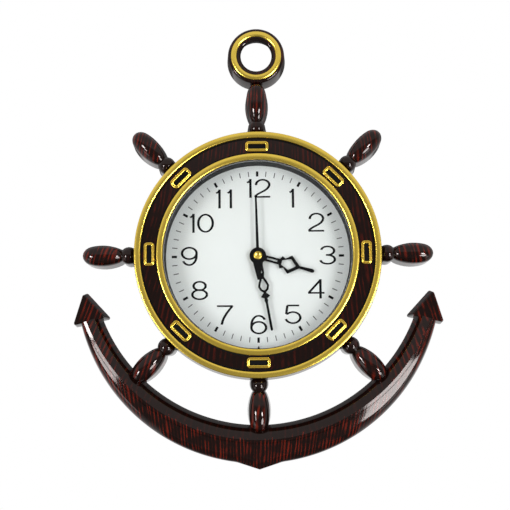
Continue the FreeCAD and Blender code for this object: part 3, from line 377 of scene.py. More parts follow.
def object_place(tree):
    """Where a point lies on its piece, which moves along with it."""
    return tree.nodes.new("ShaderNodeTexCoord").outputs["Object"]


def noise(tree, place, scale, detail=3.0, roughness=0.5):
    """Soft noise between nought and one."""
    node = tree.nodes.new("ShaderNodeTexNoise")
    settings = {"Vector": place, "Scale": scale, "Detail": detail, "Roughness": roughness}
    for label, value in settings.items():
        feed(tree, node.inputs[label], value)
    return node.outputs["Fac"]


def blended(tree, share, first, second):
    """A colour between two."""
    node = tree.nodes.new("ShaderNodeMix")
    node.data_type = "RGBA"
    for place, value in (("Factor", share), (6, first), (7, second)):
        feed(tree, node.inputs[place], value)
    return node.outputs[2]


# %% [markdown]
# The dark plastic imitates rosewood: nearly black, with thin red streaks that run almost upright and lean a
# little. A wave gives their even spacing, and noise bends them and breaks them off. How dense they are
# differs from piece to piece, and on the anchor they lie on the outer bevel, so the group takes one amount
# for inside a radius and one for outside it. A range below is two values and what they become, which is
# nought and one where nothing follows.

# %% Wood grain group
ROSEWOOD = {
    "Dark": (0.007, 0.0025, 0.0018, 1), "Streak": (0.14, 0.011, 0.004, 1), "Amount": 1.0,
    "Inner Amount": 1.0, "Radius": 0.0, "Fan": 0.0,
}
STREAK_LEAN = math.radians(3.0)
INNER_FAN = -2.1
GRAIN_SCALE = (1.0, 0.25, 0.10)
EDGE_SCALE = 350.0
EDGE_RANGE = (0.3, 0.7, -0.002, 0.002)
STREAK_WAVE = {"Scale": 82.0, "Distortion": 5.0, "Detail": 2.0, "Detail Scale": 2.2}
STREAK_RANGE = (0.5, 1.0)
PATCH_SCALE = 110.0
PATCH_RANGE = (0.38, 0.62, 0.08, 1.0)
FIBRE_SCALE = 1300.0
FIBRE_RANGE = (0.35, 0.6, 0.35, 1.0)
FOOT_RANGE = (-0.115, -0.075, 0.1, 1.0)
GLOSS_RANGE = (0.3, 0.7, 0.05, 0.1)
STREAK_HEIGHT = 0.6
FIBRE_HEIGHT = 0.4


def grain_place(tree, spot, fan):
    """The pattern's own place: fanned out with height, leant a little, and stretched along the streaks."""
    spread = combined(tree, "SUBTRACT", 1.0, combined(tree, "MULTIPLY", fan, spot["Z"]))
    fanned = tree.nodes.new("ShaderNodeCombineXYZ")
    aside = combined(tree, "MULTIPLY", spot["X"], spread)
    for label, value in (("X", aside), ("Y", spot["Y"]), ("Z", spot["Z"])):
        tree.links.new(value, fanned.inputs[label])
    place = fanned.outputs["Vector"]
    for label, value in (("Rotation", (0, -STREAK_LEAN, 0)), ("Scale", GRAIN_SCALE)):
        mapping = tree.nodes.new("ShaderNodeMapping")
        mapping.inputs[label].default_value = value
        tree.links.new(place, mapping.inputs["Vector"])
        place = mapping.outputs["Vector"]
    return place


def streak_wave(tree, place):
    """Evenly spaced streaks that bend."""
    wave = tree.nodes.new("ShaderNodeTexWave")
    wave.bands_direction = "X"
    for label, value in STREAK_WAVE.items():
        wave.inputs[label].default_value = value
    tree.links.new(place, wave.inputs["Vector"])
    return wave.outputs["Fac"]


def grain_group():
    """The rosewood pattern, with its own amount and fan outside a radius."""
    tree, entry, result = group_with("wood_grain", ROSEWOOD)
    place = object_place(tree)
    spot = axes(tree, place)
    across = combined(tree, "MULTIPLY", spot["X"], spot["X"])
    upright = combined(tree, "MULTIPLY", spot["Z"], spot["Z"])
    radius = combined(tree, "POWER", combined(tree, "ADD", across, upright), 0.5)
    ragged = ranged(tree, noise(tree, place, EDGE_SCALE, detail=1.0), *EDGE_RANGE)
    outside = combined(tree, "GREATER_THAN", combined(tree, "ADD", radius, ragged), entry["Radius"])
    along = grain_place(tree, spot, ranged(tree, outside, 0.0, 1.0, INNER_FAN, entry["Fan"]))
    wave = streak_wave(tree, along)
    fibre = noise(tree, along, FIBRE_SCALE, detail=2.0, roughness=0.6)
    patch = noise(tree, place, PATCH_SCALE, detail=1.0)
    inner = combined(tree, "MULTIPLY", entry["Inner Amount"], ranged(tree, spot["Z"], *FOOT_RANGE))
    amount = ranged(tree, outside, 0.0, 1.0, inner, entry["Amount"])
    streak = ranged(tree, wave, *STREAK_RANGE)
    for share in (ranged(tree, patch, *PATCH_RANGE), ranged(tree, fibre, *FIBRE_RANGE), amount):
        streak = combined(tree, "MULTIPLY", streak, share)
    tree.links.new(blended(tree, streak, entry["Dark"], entry["Streak"]), result["Color"])
    tree.links.new(ranged(tree, fibre, *GLOSS_RANGE), result["Roughness"])
    low = combined(tree, "MULTIPLY", wave, STREAK_HEIGHT)
    high = combined(tree, "MULTIPLY", fibre, FIBRE_HEIGHT)
    tree.links.new(combined(tree, "ADD", low, high), result["Height"])
    return tree


GRAIN = grain_group()
print("wood grain nodes:", len(GRAIN.nodes))

# %% [markdown]
# No real surface has one colour. This group adds slow blotches, a fine speckle and matching roughness to
# any finish, in the amounts that each material asks for.

# %% Surface variation group
EVEN_SURFACE = {
    "Base": (0.5, 0.5, 0.5, 1), "Shade": (0.4, 0.4, 0.4, 1), "Blotch Scale": 40.0, "Speck Scale": 2500.0,
    "Low Roughness": 0.3, "High Roughness": 0.5,
}
BLOTCH_RANGE = (0.35, 0.65)
SPECK_RANGE = (0.3, 0.7, 0.5, 1.0)


def variation_group():
    """A colour and a roughness that drift between two values."""
    tree, entry, result = group_with("surface_variation", EVEN_SURFACE)
    place = object_place(tree)
    blotch = noise(tree, place, entry["Blotch Scale"], detail=4.0, roughness=0.6)
    speck = noise(tree, place, entry["Speck Scale"], detail=1.0)
    share = combined(tree, "MULTIPLY", ranged(tree, blotch, *BLOTCH_RANGE), ranged(tree, speck, *SPECK_RANGE))
    rough = ranged(tree, share, 0.0, 1.0, entry["Low Roughness"], entry["High Roughness"])
    tree.links.new(blended(tree, share, entry["Base"], entry["Shade"]), result["Color"])
    tree.links.new(rough, result["Roughness"])
    tree.links.new(speck, result["Height"])
    return tree


VARIATION = variation_group()
print("surface variation nodes:", len(VARIATION.nodes))

# %% [markdown]
# Every material is made alike: a group gives its colour, its roughness and a very shallow relief, and the
# plain values, such as how metallic it is, sit on the shader itself.

# %% Material maker
PLAIN_RELIEF = 0.0001


def material_from(name, group, inputs, bump, relief_depth, **plain):
    """A material whose colour, roughness and bump come from a group."""
    material = bpy.data.materials.new(name)
    material.use_nodes = True
    tree = material.node_tree
    shader = tree.nodes["Principled BSDF"]
    look = tree.nodes.new("ShaderNodeGroup")
    look.node_tree = group
    for key, value in inputs.items():
        look.inputs[key].default_value = value
    tree.links.new(look.outputs["Color"], shader.inputs["Base Color"])
    tree.links.new(look.outputs["Roughness"], shader.inputs["Roughness"])
    relief = tree.nodes.new("ShaderNodeBump")
    relief.inputs["Strength"].default_value = bump
    relief.inputs["Distance"].default_value = relief_depth
    tree.links.new(look.outputs["Height"], relief.inputs["Height"])
    tree.links.new(relief.outputs["Normal"], shader.inputs["Normal"])
    for key, value in plain.items():
        shader.inputs[key.replace("_", " ")].default_value = value
    return material


def plain_finish(name, base, shade, rough, bump=0.15, blotch=40.0, speck=2500.0, **plain):
    """A finish of one colour with variation."""
    inputs = {"Base": (*base, 1), "Shade": (*shade, 1), "Blotch Scale": blotch, "Speck Scale": speck,
              "Low Roughness": rough[0], "High Roughness": rough[1]}
    return material_from(name, VARIATION, inputs, bump, PLAIN_RELIEF, **plain)


# %% [markdown]
# The plastic is one material in four densities. The handles and the anchor change theirs at a radius: where
# the bead at a handle's foot ends, and along the anchor's ridge.

# %% Rosewood finishes
GRAIN_BUMP = 0.015
GRAIN_RELIEF = 0.0002
GRAIN_SHINE = 0.24
GRAIN_TINT = (1.0, 0.92, 0.9, 1.0)
NO_RADIUS = -1.0
BEAD_END = 0.1135
RIDGE_RADIUS = 0.1504
RIDGE_FAN = 2.5


def grain_finish(name, amount, inner=1.0, radius=NO_RADIUS, fan=INNER_FAN):
    """The rosewood plastic with its own density of streaks, outside and inside a radius."""
    inputs = {"Amount": amount, "Inner Amount": inner, "Radius": radius, "Fan": fan}
    return material_from(name, GRAIN, inputs, GRAIN_BUMP, GRAIN_RELIEF,
                         Specular_IOR_Level=GRAIN_SHINE, Specular_Tint=GRAIN_TINT)


grain = grain_finish("rosewood_plastic", 0.85)
band_grain = grain_finish("rosewood_band", 0.32)
arm_grain = grain_finish("rosewood_anchor", 1.3, 1.0, RIDGE_RADIUS, RIDGE_FAN)
handle_grain = grain_finish("rosewood_handles", 1.2, 0.15, BEAD_END)
print("rosewood finishes:", len(bpy.data.materials))

# %% [markdown]
# Now the plain finishes. Colours are linear values, a base and a shade of it, and the pair after them is
# the roughness between which the surface drifts. The gold is thin bright plating on plastic, so it is a
# true metal and fairly smooth. The hands are lacquered and the dial is printed card. The lens is a clear
# thin sheet, so nearly all light goes through it.

# %% Plain finishes
LENS_ALPHA = 0.04
gold = plain_finish("gold_plating", (0.72, 0.515, 0.085), (0.62, 0.44, 0.065), (0.22, 0.26),
                    bump=0.004, blotch=30.0, speck=3000.0, Metallic=1.0)
dial_card = plain_finish("dial_card", (0.86, 0.91, 0.895), (0.83, 0.88, 0.865), (0.45, 0.6), bump=0.08)
black_print = plain_finish("black_print", (0.003, 0.003, 0.004), (0.006, 0.006, 0.007), (0.5, 0.6),
                           bump=0.05, Specular_IOR_Level=0.1)
grey_print = plain_finish("grey_print", (0.06, 0.065, 0.07), (0.09, 0.095, 0.10), (0.4, 0.5), bump=0.05)
lacquer = plain_finish("black_lacquer", (0.001, 0.001, 0.0015), (0.003, 0.003, 0.0035), (0.5, 0.65),
                       bump=0.05, Specular_IOR_Level=0.06)
case_plastic = plain_finish("black_plastic", (0.018, 0.018, 0.020), (0.03, 0.03, 0.032), (0.38, 0.55),
                            bump=0.5, blotch=60.0, speck=4000.0)
spacer_plastic = plain_finish("spacer_plastic", (0.011, 0.012, 0.014), (0.018, 0.019, 0.021), (0.55, 0.65),
                              bump=0.1, Specular_IOR_Level=0.1)
bore_plastic = plain_finish("bore_plastic", (0.005, 0.003, 0.0025), (0.009, 0.005, 0.004), (0.6, 0.75),
                            bump=0.02, Specular_IOR_Level=0.08)
pale_plastic = plain_finish("pale_plastic", (0.72, 0.71, 0.67), (0.62, 0.61, 0.57), (0.35, 0.5), bump=0.2)
gear_plastic = plain_finish("gear_plastic", (0.66, 0.63, 0.52), (0.56, 0.53, 0.43), (0.3, 0.45), bump=0.2)
brass = plain_finish("turned_brass", (0.72, 0.50, 0.18), (0.52, 0.34, 0.12), (0.22, 0.4),
                     bump=0.2, Metallic=1.0)
steel = plain_finish("plated_steel", (0.62, 0.62, 0.63), (0.45, 0.45, 0.46), (0.25, 0.45),
                     bump=0.2, Metallic=1.0)
rubber = plain_finish("black_rubber", (0.015, 0.015, 0.015), (0.03, 0.03, 0.03), (0.7, 0.85), bump=0.4)
board = plain_finish("circuit_board", (0.02, 0.13, 0.05), (0.01, 0.08, 0.03), (0.35, 0.5),
                     bump=0.3, blotch=300.0)
lens_sheet = plain_finish("clear_lens", (0.03, 0.03, 0.03), (0.02, 0.02, 0.02), (0.03, 0.06),
                          bump=0.01, Alpha=LENS_ALPHA)
print("finishes so far:", len(bpy.data.materials))

# %% [markdown]
# Two finishes need a pattern of their own: the coil shows its turns of wire, and the cell has a
# copper-coloured end on a dark wrap.

# %% Coil and cell
WIRE_SCALE = 900.0
COPPER_END = (0.0104, 0.0106)
END_SHINE = 0.9
WRAP_COLOUR = (0.025, 0.025, 0.028, 1)
END_COLOUR = (0.55, 0.22, 0.06, 1)


def winding():
    """Copper with a fine band for every turn of wire."""
    material = plain_finish("copper_winding", (0.62, 0.26, 0.09), (0.45, 0.16, 0.05), (0.25, 0.4),
                            Metallic=1.0)
    tree = material.node_tree
    wave = tree.nodes.new("ShaderNodeTexWave")
    wave.bands_direction = "X"
    wave.inputs["Scale"].default_value = WIRE_SCALE
    tree.links.new(object_place(tree), wave.inputs["Vector"])
    tree.links.new(wave.outputs["Fac"], tree.nodes["Bump"].inputs["Height"])
    return material


def cell_wrap():
    """A dark wrap whose positive end is copper-coloured."""
    material = plain_finish("cell_wrap", (0.02, 0.02, 0.022), (0.04, 0.04, 0.045), (0.25, 0.4), bump=0.1)
    tree = material.node_tree
    along = axes(tree, object_place(tree))["X"]
    colour = blended(tree, ranged(tree, along, *COPPER_END), WRAP_COLOUR, END_COLOUR)
    shader = tree.nodes["Principled BSDF"]
    tree.links.new(colour, shader.inputs["Base Color"])
    tree.links.new(ranged(tree, along, *COPPER_END, 0.0, END_SHINE), shader.inputs["Metallic"])
    return material


copper = winding()
cell = cell_wrap()
print("finishes:", len(bpy.data.materials))

# %% [markdown]
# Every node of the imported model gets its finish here, also the wheels that only show when the case is open.

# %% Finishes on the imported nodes
FINISH_OF = {
    "wheel_case": band_grain, "outer_gold_ring": gold, "inner_gold_ring": gold, "buckles": gold,
    "eye_ring": grain, "eye_gold_ring": gold, "anchor_arms": arm_grain, "left_fluke": grain,
    "right_fluke": grain, "upper_handles": handle_grain, "lower_handles": handle_grain,
    "lens": lens_sheet, "spacer_ring": spacer_plastic, "dial": dial_card, "back_case": case_plastic,
    "back_case_screws": steel, "movement_case": case_plastic, "middle_plate": pale_plastic,
    "movement_cover": case_plastic, "hex_nut": brass, "rubber_washer": rubber, "stator": steel,
    "coil": copper, "circuit_board": board, "quartz_crystal": steel, "battery": cell,
    "positive_contact": steel, "negative_contact": steel, "rotor": steel, "fifth_wheel": gear_plastic,
    "seconds_wheel": gear_plastic, "third_wheel": gear_plastic, "centre_wheel": gear_plastic,
    "minute_pipe": gear_plastic, "motion_wheel": gear_plastic, "hour_wheel": gear_plastic,
    "setting_knob": pale_plastic, "hour_hand": lacquer, "minute_hand": lacquer, "second_hand": lacquer,
    "second_hand_cap": gold,
}
for name, node in nodes.items():
    dressed(node, FINISH_OF[name])
print("nodes with a finish:", len(FINISH_OF))

# %% [markdown]
# The round mouldings are turned about the depth axis. A circle is extruded row by row and resized to each
# radius, and each row is a radius and a depth in millimetres: soft edges come from rows that lie close
# together. The gold rings have a nearly flat face with rounded shoulders.

# %% Turned rings and cap
RING_SIDES = 144
RING_MERGE = 0.01
SOFT_ANGLE = 50.0
BAND_FACE = 41.4
EYE_HEIGHT = 169.7
OUTER_RADIUS = 101.1
INNER_RADIUS = 82.9
SHOULDER = ((0.0, 0.0), (0.0, 1.5), (0.12, 1.95), (0.4, 2.25), (0.9, 2.4), (1.7, 2.47), (2.6, 2.5),
            (3.5, 2.46), (4.3, 2.37), (4.8, 2.2), (5.08, 1.9), (5.2, 1.4), (5.2, 0.0), (0.0, 0.0))
OUTER_ROWS = [(OUTER_RADIUS - inward, BAND_FACE + rise) for inward, rise in SHOULDER]
INNER_ROWS = [(INNER_RADIUS - inward, BAND_FACE + rise) for inward, rise in SHOULDER]
EYE_GOLD_ROWS = ((21.3, 31.0), (21.2, 31.6), (20.8, 32.0), (20.2, 32.2), (19.2, 32.35), (18.2, 32.4),
                 (17.5, 32.3), (16.9, 31.95), (16.5, 31.5), (16.4, 31.0), (21.3, 31.0))
EYE_ROWS = ((24.9, 13.5), (23.9, 29.0), (23.6, 30.2), (23.0, 30.9), (22.2, 31.2), (15.4, 31.2),
            (14.2, 31.0), (13.4, 30.3), (13.1, 29.3), (13.2, 28.0), (17.2, 13.5), (24.9, 13.5))
CAP_ROWS = ((3.6, 25.4), (3.6, 25.8), (3.35, 26.3), (2.8, 26.6), (2.3, 26.55), (1.7, 26.2), (1.1, 26.0),
            (0.4, 25.95))


def turned(name, rows, height_at=0.0):
    """A circle extruded row by row towards the viewer; a last row equal to the first closes a ring."""
    radius, depth = rows[0]
    middle = Vector((0, 0, height_at)) * MM
    piece = fresh(name, bpy.ops.mesh.primitive_circle_add, vertices=RING_SIDES, radius=radius * MM,
                  location=middle - Vector((0, depth, 0)) * MM, rotation=(math.pi / 2, 0, 0))
    edit()
    bpy.ops.mesh.select_all(action="SELECT")
    for wide, level in rows[1:]:
        extrude((0, (depth - level) * MM, 0))
        share = wide / radius
        centre = middle - Vector((0, level, 0)) * MM
        bpy.ops.transform.resize(value=(share, 1, share), center_override=centre)
        radius, depth = wide, level
    if rows[-1] == rows[0]:
        bpy.ops.mesh.select_all(action="SELECT")
        bpy.ops.mesh.remove_doubles(threshold=RING_MERGE * MM)
    else:
        bpy.ops.mesh.edge_face_add()
    outward()
    leave()
    return piece


for name, rows, height_at, material, slot, body, node in (
        ("outer_gold_moulding", OUTER_ROWS, 0.0, gold, "gold_plating", "root", "outer_gold_ring"),
        ("inner_gold_moulding", INNER_ROWS, 0.0, gold, "gold_plating", "root", "inner_gold_ring"),
        ("eye_gold_moulding", EYE_GOLD_ROWS, EYE_HEIGHT, gold, "gold_plating", "root", "eye_gold_ring"),
        ("turned_eye", EYE_ROWS, EYE_HEIGHT, band_grain, "grain_plastic", "root", "eye_ring"),
        ("dimpled_cap", CAP_ROWS, 0.0, gold, "brass_part", "seconds", "second_hand_cap")):
    piece = turned(name, rows, height_at)
    dressed(piece, material)
    finished(piece, body, SOFT_ANGLE)
    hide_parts(node)

# %% [markdown]
# The hole of the eye is not lacquered, so its inner wall gets a matte finish of its own. Its faces are
# picked by where they look.

# %% Bore of the eye
BORE_FACING = 0.6


def faces_bore(place, normal):
    """True on the eye's inner wall, whose faces look at its axis."""
    return normal.dot(Vector((-place.x, 0, EYE_HEIGHT * MM - place.z)).normalized()) > BORE_FACING


eye = bpy.data.objects["turned_eye"]
eye.data.materials.append(bore_plastic)
alone(eye)
pick_faces(eye, faces_bore)
eye.active_material_index = 1
bpy.ops.object.material_slot_assign()
leave()
print("bore faces:", sum(face.material_index for face in eye.data.polygons))

# %% [markdown]
# At the feet of the two gold rings the band has a narrow black line of painted shadow, dark where each ring
# meets the band. Each is a low ring that is turned like them.

# %% Painted shadow lines
LINE_RISE = 0.1
LINE_RADII = ((82.8, 84.1), (94.7, 96.0))


def groove_line(low, high):
    """One black line of painted shadow on the band, between two radii."""
    top = BAND_FACE + LINE_RISE
    return turned("groove", ((high, BAND_FACE), (high, top), (low, top), (low, BAND_FACE), (high, BAND_FACE)))


# Both black lines are painted shadow, where the gold rings meet the band.
lines = joined("painted_shadow_lines", [groove_line(low, high) for low, high in LINE_RADII])
dressed(lines, lacquer)
finished(lines)

# %% [markdown]
# A handle is turned: a bead, a thin neck, a long swelling belly and a rounded end. A circle is extruded
# along its axis row by row and resized to each radius, as a turner would measure it. The back half is
# bisected away and the open edge is extruded to the wall side, because the moulding is half round only in
# front.

# %% Handles
AXIS_DEPTH = 31.0
BACK_DEPTH = 16.0
HANDLE_SIDES = 40
HANDLE_SPREAD = 1.12
MOULDED_WALL = 2.0
NEAR = 1e-6
HANDLE_ROWS = (
    (100.2, 2.4), (101.0, 4.3), (102.4, 5.9), (104.4, 6.95), (106.8, 7.3), (109.0, 6.9), (110.6, 6.1),
    (111.7, 5.2), (112.3, 4.8), (113.0, 5.2), (114.0, 5.8), (115.2, 6.3), (117.0, 6.95), (119.8, 7.7),
    (123.0, 8.35), (127.0, 8.75), (131.0, 8.7), (134.7, 8.3), (137.0, 7.85), (138.9, 7.35), (140.6, 6.6),
    (142.2, 5.5), (143.5, 4.1), (144.4, 2.5), (144.8, 1.0),
)


def make_handle():
    """One handle that points up, at the top of the wheel."""
    start, radius = HANDLE_ROWS[0]
    axis = Vector((0, -AXIS_DEPTH, 0)) * MM
    handle = fresh("handle", bpy.ops.mesh.primitive_circle_add, vertices=HANDLE_SIDES, radius=radius * MM,
                   location=axis + Vector((0, 0, start * MM)))
    edit()
    bpy.ops.mesh.select_all(action="SELECT")
    for place, size in HANDLE_ROWS[1:]:
        extrude((0, 0, (place - start) * MM))
        share = size / radius
        bpy.ops.transform.resize(value=(share, share, 1), center_override=(0, axis.y, place * MM))
        start, radius = place, size
    bpy.ops.mesh.edge_face_add()
    bpy.ops.mesh.select_all(action="SELECT")
    bpy.ops.mesh.bisect(plane_co=axis, plane_no=(0, 1, 0), clear_outer=True, use_fill=False)
    pick_edges(handle, lambda first, last: max(abs(first.y - axis.y), abs(last.y - axis.y)) < NEAR)
    extrude((0, (AXIS_DEPTH - BACK_DEPTH) * MM, 0))
    bpy.ops.transform.resize(value=(HANDLE_SPREAD, 1, 1), center_override=axis)
    outward()
    leave()
    modified(handle, "SOLIDIFY", thickness=MOULDED_WALL * MM, offset=-1)
    return handle


handle = make_handle()
dressed(handle, handle_grain)
for name, turns, node in (("upper_turned_handles", (-90, -45, 0, 45, 90), "upper_handles"),
                          ("lower_turned_handles", (135, 180, 225), "lower_handles")):
    piece = joined(name, [copied(handle, f"handle_{turn}", turn) for turn in turns])
    finished(piece, angle=SOFT_ANGLE)
    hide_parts(node)
bpy.data.objects.remove(handle)

# %% [markdown]
# The anchor's arms are a crescent between two circles. Its section is a pointed arch: flat beside the ridge
# and steep at the edges, so each side of the ridge catches one of the bright panels in a long streak. A
# flat grid is added and its rows and columns are laid along the crescent. Along the arms runs the bearing
# from the hands' axis, across them the profile from the inner wall to the outer wall.

# %% Anchor arms
ARM_INNER = 141.5
ARM_OUTER = 151.0
ARM_DROP = 19.0
CROWN_TIP = 175.0
CROWN_RISE = 0.328
CROWN_FLANK = 18.9
RIDGE = RIDGE_RADIUS / MM
ARM_END = math.radians(21.0)
ARM_EDGE_DEPTH = 28.0
ARM_INNER_DEPTH = 31.0
ARM_RIDGE_DEPTH = 37.0
ARM_FLARE = 1.4
ARM_SETBACK = 0.3
INNER_LIP = 1.0
OUTER_LIP = 1.2
RIDGE_SLOPE = math.tan(math.radians(15.0))
INNER_BEND = 0.4
INNER_STEPS = 6
OUTER_STEPS = 9
EVEN_LIMIT = 0.75
SHOULDER_POWER = 7
GROOVE = ((2.3, 0.0), (2.5, 0.3), (2.8, 0.3), (3.0, 0.0))
ARM_STEPS = 160
ARM_ANGLE = 25.0
GRID_SIZE = 2.0


def outer_reach(bearing):
    """The distance from the hands' axis to the crescent's outer edge at a bearing below the level."""
    down, aside = math.sin(bearing), abs(math.cos(bearing))
    half = ARM_DROP * down
    reach = half + math.sqrt(half * half + ARM_OUTER ** 2 - ARM_DROP ** 2)
    if reach * aside < CROWN_FLANK:
        reach = CROWN_TIP / (down + CROWN_RISE * aside)
    return reach


def inner_slope():
    """Points from the inner wall to the ridge: steep at its foot, flat beside the ridge."""
    foot, top = (ARM_INNER + ARM_SETBACK, ARM_INNER_DEPTH), (RIDGE, ARM_RIDGE_DEPTH)
    width = top[0] - foot[0]
    bend = (foot[0] + width * INNER_BEND, top[1] - width * (1 - INNER_BEND) * RIDGE_SLOPE)
    shares = [step / INNER_STEPS for step in range(INNER_STEPS + 1)]
    return [tuple((1 - share) ** 2 * a + 2 * share * (1 - share) * b + share ** 2 * c
                  for a, b, c in zip(foot, bend, top)) for share in shares]


def outer_slope(outer):
    """Points from the ridge to the outer wall: an even slope with a fine groove, then a rounded shoulder."""
    width, rise = outer - ARM_SETBACK - RIDGE, ARM_RIDGE_DEPTH - ARM_EDGE_DEPTH
    even = min(EVEN_LIMIT, RIDGE_SLOPE * width / rise)

    def depth_at(share):
        return ARM_RIDGE_DEPTH - rise * (even * share + (1 - even) * share ** SHOULDER_POWER)

    rows = [(RIDGE + out, depth_at(out / width) - cut) for out, cut in GROOVE]
    start = GROOVE[-1][0] / width
    shares = [start + (1 - start) * step / OUTER_STEPS for step in range(1, OUTER_STEPS + 1)]
    return rows + [(RIDGE + share * width, depth_at(share)) for share in shares]


def crest_rows(bearing):
    """The profile of one section: distance from the axis and depth, from the inner wall to the outer wall."""
    outer = outer_reach(bearing)
    inner_wall = [(ARM_INNER - ARM_FLARE, BACK_DEPTH), (ARM_INNER, ARM_INNER_DEPTH - INNER_LIP)]
    outer_wall = [(outer, ARM_EDGE_DEPTH - OUTER_LIP), (outer + ARM_FLARE, BACK_DEPTH)]
    return inner_wall + inner_slope() + outer_slope(outer) + outer_wall


ARM_ROWS = len(crest_rows(math.pi / 2)) - 1
arms = fresh("moulded_arms", bpy.ops.mesh.primitive_grid_add, size=GRID_SIZE,
             x_subdivisions=ARM_STEPS, y_subdivisions=ARM_ROWS)
for vertex in arms.data.vertices:
    along = round((vertex.co.x / GRID_SIZE + 0.5) * ARM_STEPS)
    across = round((vertex.co.y / GRID_SIZE + 0.5) * ARM_ROWS)
    bearing = ARM_END + (math.pi - 2 * ARM_END) * along / ARM_STEPS
    reach, depth = crest_rows(bearing)[across]
    vertex.co = Vector((reach * math.cos(bearing), -depth, -reach * math.sin(bearing))) * MM
edit()
outward()
leave()
modified(arms, "SOLIDIFY", thickness=MOULDED_WALL * MM, offset=-1)
dressed(arms, arm_grain)
finished(arms, angle=ARM_ANGLE)
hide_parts("anchor_arms")

# %% [markdown]
# Each fluke is a flat triangle with soft corners whose side walls lean out towards the wall. A circle of
# three points is the triangle: its corners are bevelled, it is extruded back and widened, and its front
# edge is softened.

# %% Flukes
FLUKE_RADIUS = 15.9
FLUKE_CORNER = 2.6
CORNER_STEPS = 5
FLUKE_FRONT = 32.2
FRONT_MARGIN = 0.1
FLUKE_STEPS = ((0.1, 0.4), (0.25, 0.27), (0.4, 0.13), (0.2, 0.0))
FLUKE_SPREAD = 1.15
FLUKE_PLACE = (140.45, -46.4)
FLUKE_LEAN = 13.0
MOULDED_ANGLE = 40.0


def make_fluke(name, side):
    """One fluke; its side is -1 at the left and 1 at the right."""
    piece = fresh(name, bpy.ops.mesh.primitive_circle_add, vertices=3, fill_type="NGON",
                  radius=FLUKE_RADIUS * MM, location=Vector((0, -FLUKE_FRONT, 0)) * MM,
                  rotation=(math.pi / 2, 0, 0))
    edit()
    bpy.ops.mesh.select_all(action="SELECT")
    bpy.ops.mesh.bevel(offset=FLUKE_CORNER * MM, segments=CORNER_STEPS, affect="VERTICES")
    bpy.ops.mesh.select_all(action="SELECT")
    extrude((0, (FLUKE_FRONT - BACK_DEPTH) * MM, 0))
    bpy.ops.transform.resize(value=(FLUKE_SPREAD, 1, FLUKE_SPREAD),
                             center_override=Vector((0, -BACK_DEPTH, 0)) * MM)
    outward()
    pick_faces(piece, lambda centre, normal: centre.y < -(FLUKE_FRONT - FRONT_MARGIN) * MM)
    for wide, high in FLUKE_STEPS:
        bpy.ops.mesh.inset(thickness=wide * MM, depth=high * MM)
    leave()
    lean = Matrix.Rotation(math.radians(FLUKE_LEAN * side), 4, "Y")
    spot = Matrix.Translation(Vector((FLUKE_PLACE[0] * side, 0, FLUKE_PLACE[1])) * MM)
    piece.data.transform(spot @ lean)
    dressed(piece, grain)
    return piece


for name, side, node in (("left_arrow", -1, "left_fluke"), ("right_arrow", 1, "right_fluke")):
    fluke = make_fluke(name, side)
    finished(fluke, angle=MOULDED_ANGLE)
    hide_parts(node)

# %% [markdown]
# A buckle is a small moulded frame. A cube gets rounded corners and a soft front edge, and repeated insets
# step down from its rim to a ledge and then to the dark slot.

# %% Buckles
BUCKLE_MIDDLE = 88.65
BUCKLE_SIZE = (19.2, 1.5, 8.7)
BUCKLE_CORNER = 2.8
BUCKLE_CORNER_STEPS = 6
BUCKLE_STEPS = ((0.12, 0.35), (0.2, 0.22), (0.25, 0.08), (0.35, -0.03), (0.15, -0.4), (0.15, -0.1),
                (0.15, 0.35), (0.25, 0.12), (0.4, 0.0), (0.2, -0.15), (0.2, -0.4), (0.25, -0.9))
BUCKLE_FRONT = BAND_FACE + BUCKLE_SIZE[1]
BUCKLE_MARGIN = 0.05
SLOT_DEPTH = BAND_FACE + 1.0
FRONT_FACING = 0.9


def make_buckle():
    """One buckle at the top of the band."""
    middle = Vector((0, -(BAND_FACE + BUCKLE_SIZE[1] / 2), BUCKLE_MIDDLE)) * MM
    piece = fresh("buckle", bpy.ops.mesh.primitive_cube_add, size=1, location=middle,
                  scale=Vector(BUCKLE_SIZE) * MM)
    pick_edges(piece, lambda start, end: abs(start.y - end.y) > MM)
    bpy.ops.mesh.bevel(offset=BUCKLE_CORNER * MM, segments=BUCKLE_CORNER_STEPS, affect="EDGES")
    pick_faces(piece, lambda centre, normal: centre.y < -(BUCKLE_FRONT - BUCKLE_MARGIN) * MM)
    for wide, deep in BUCKLE_STEPS:
        bpy.ops.mesh.inset(thickness=wide * MM, depth=deep * MM)
    leave()
    dressed(piece, gold, lacquer)
    for face in piece.data.polygons:
        if face.normal.y < -FRONT_FACING and face.center.y > -SLOT_DEPTH * MM:
            face.material_index = 1
    return piece


buckle = make_buckle()
row = [copied(buckle, f"buckle_{turn}", turn) for turn in range(0, 360, 45)]
bpy.data.objects.remove(buckle)
frames = joined("moulded_buckles", row)
finished(frames, angle=MOULDED_ANGLE)
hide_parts("buckles")

# %% [markdown]
# The hands are stamped from sheet, and lacquer rounds and thickens every line a little. Each hand of the
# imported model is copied, fattened along its normals, and pressed back to its own thickness.

# %% Lacquered hands
LACQUER = 0.28
SHEET_MERGE = 0.001


def lacquered(name, node, body):
    """A hand whose lines are a little bolder than the sheet they are cut from."""
    piece = nodes[node].copy()
    piece.data = nodes[node].data.copy()
    bpy.context.scene.collection.objects.link(piece)
    piece.name = name
    piece.parent = None
    piece.matrix_world = nodes[node].matrix_world
    alone(piece)
    bpy.ops.object.transform_apply(location=True, rotation=True, scale=True)
    depths = [vertex.co.y for vertex in piece.data.vertices]
    low, high = min(depths), max(depths)
    edit()
    bpy.ops.mesh.select_all(action="SELECT")
    bpy.ops.mesh.remove_doubles(threshold=SHEET_MERGE * MM)
    outward()
    bpy.ops.transform.shrink_fatten(value=LACQUER * MM)
    leave()
    for vertex in piece.data.vertices:
        vertex.co.y = min(max(vertex.co.y, low), high)
    finished(piece, body)
    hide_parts(node)


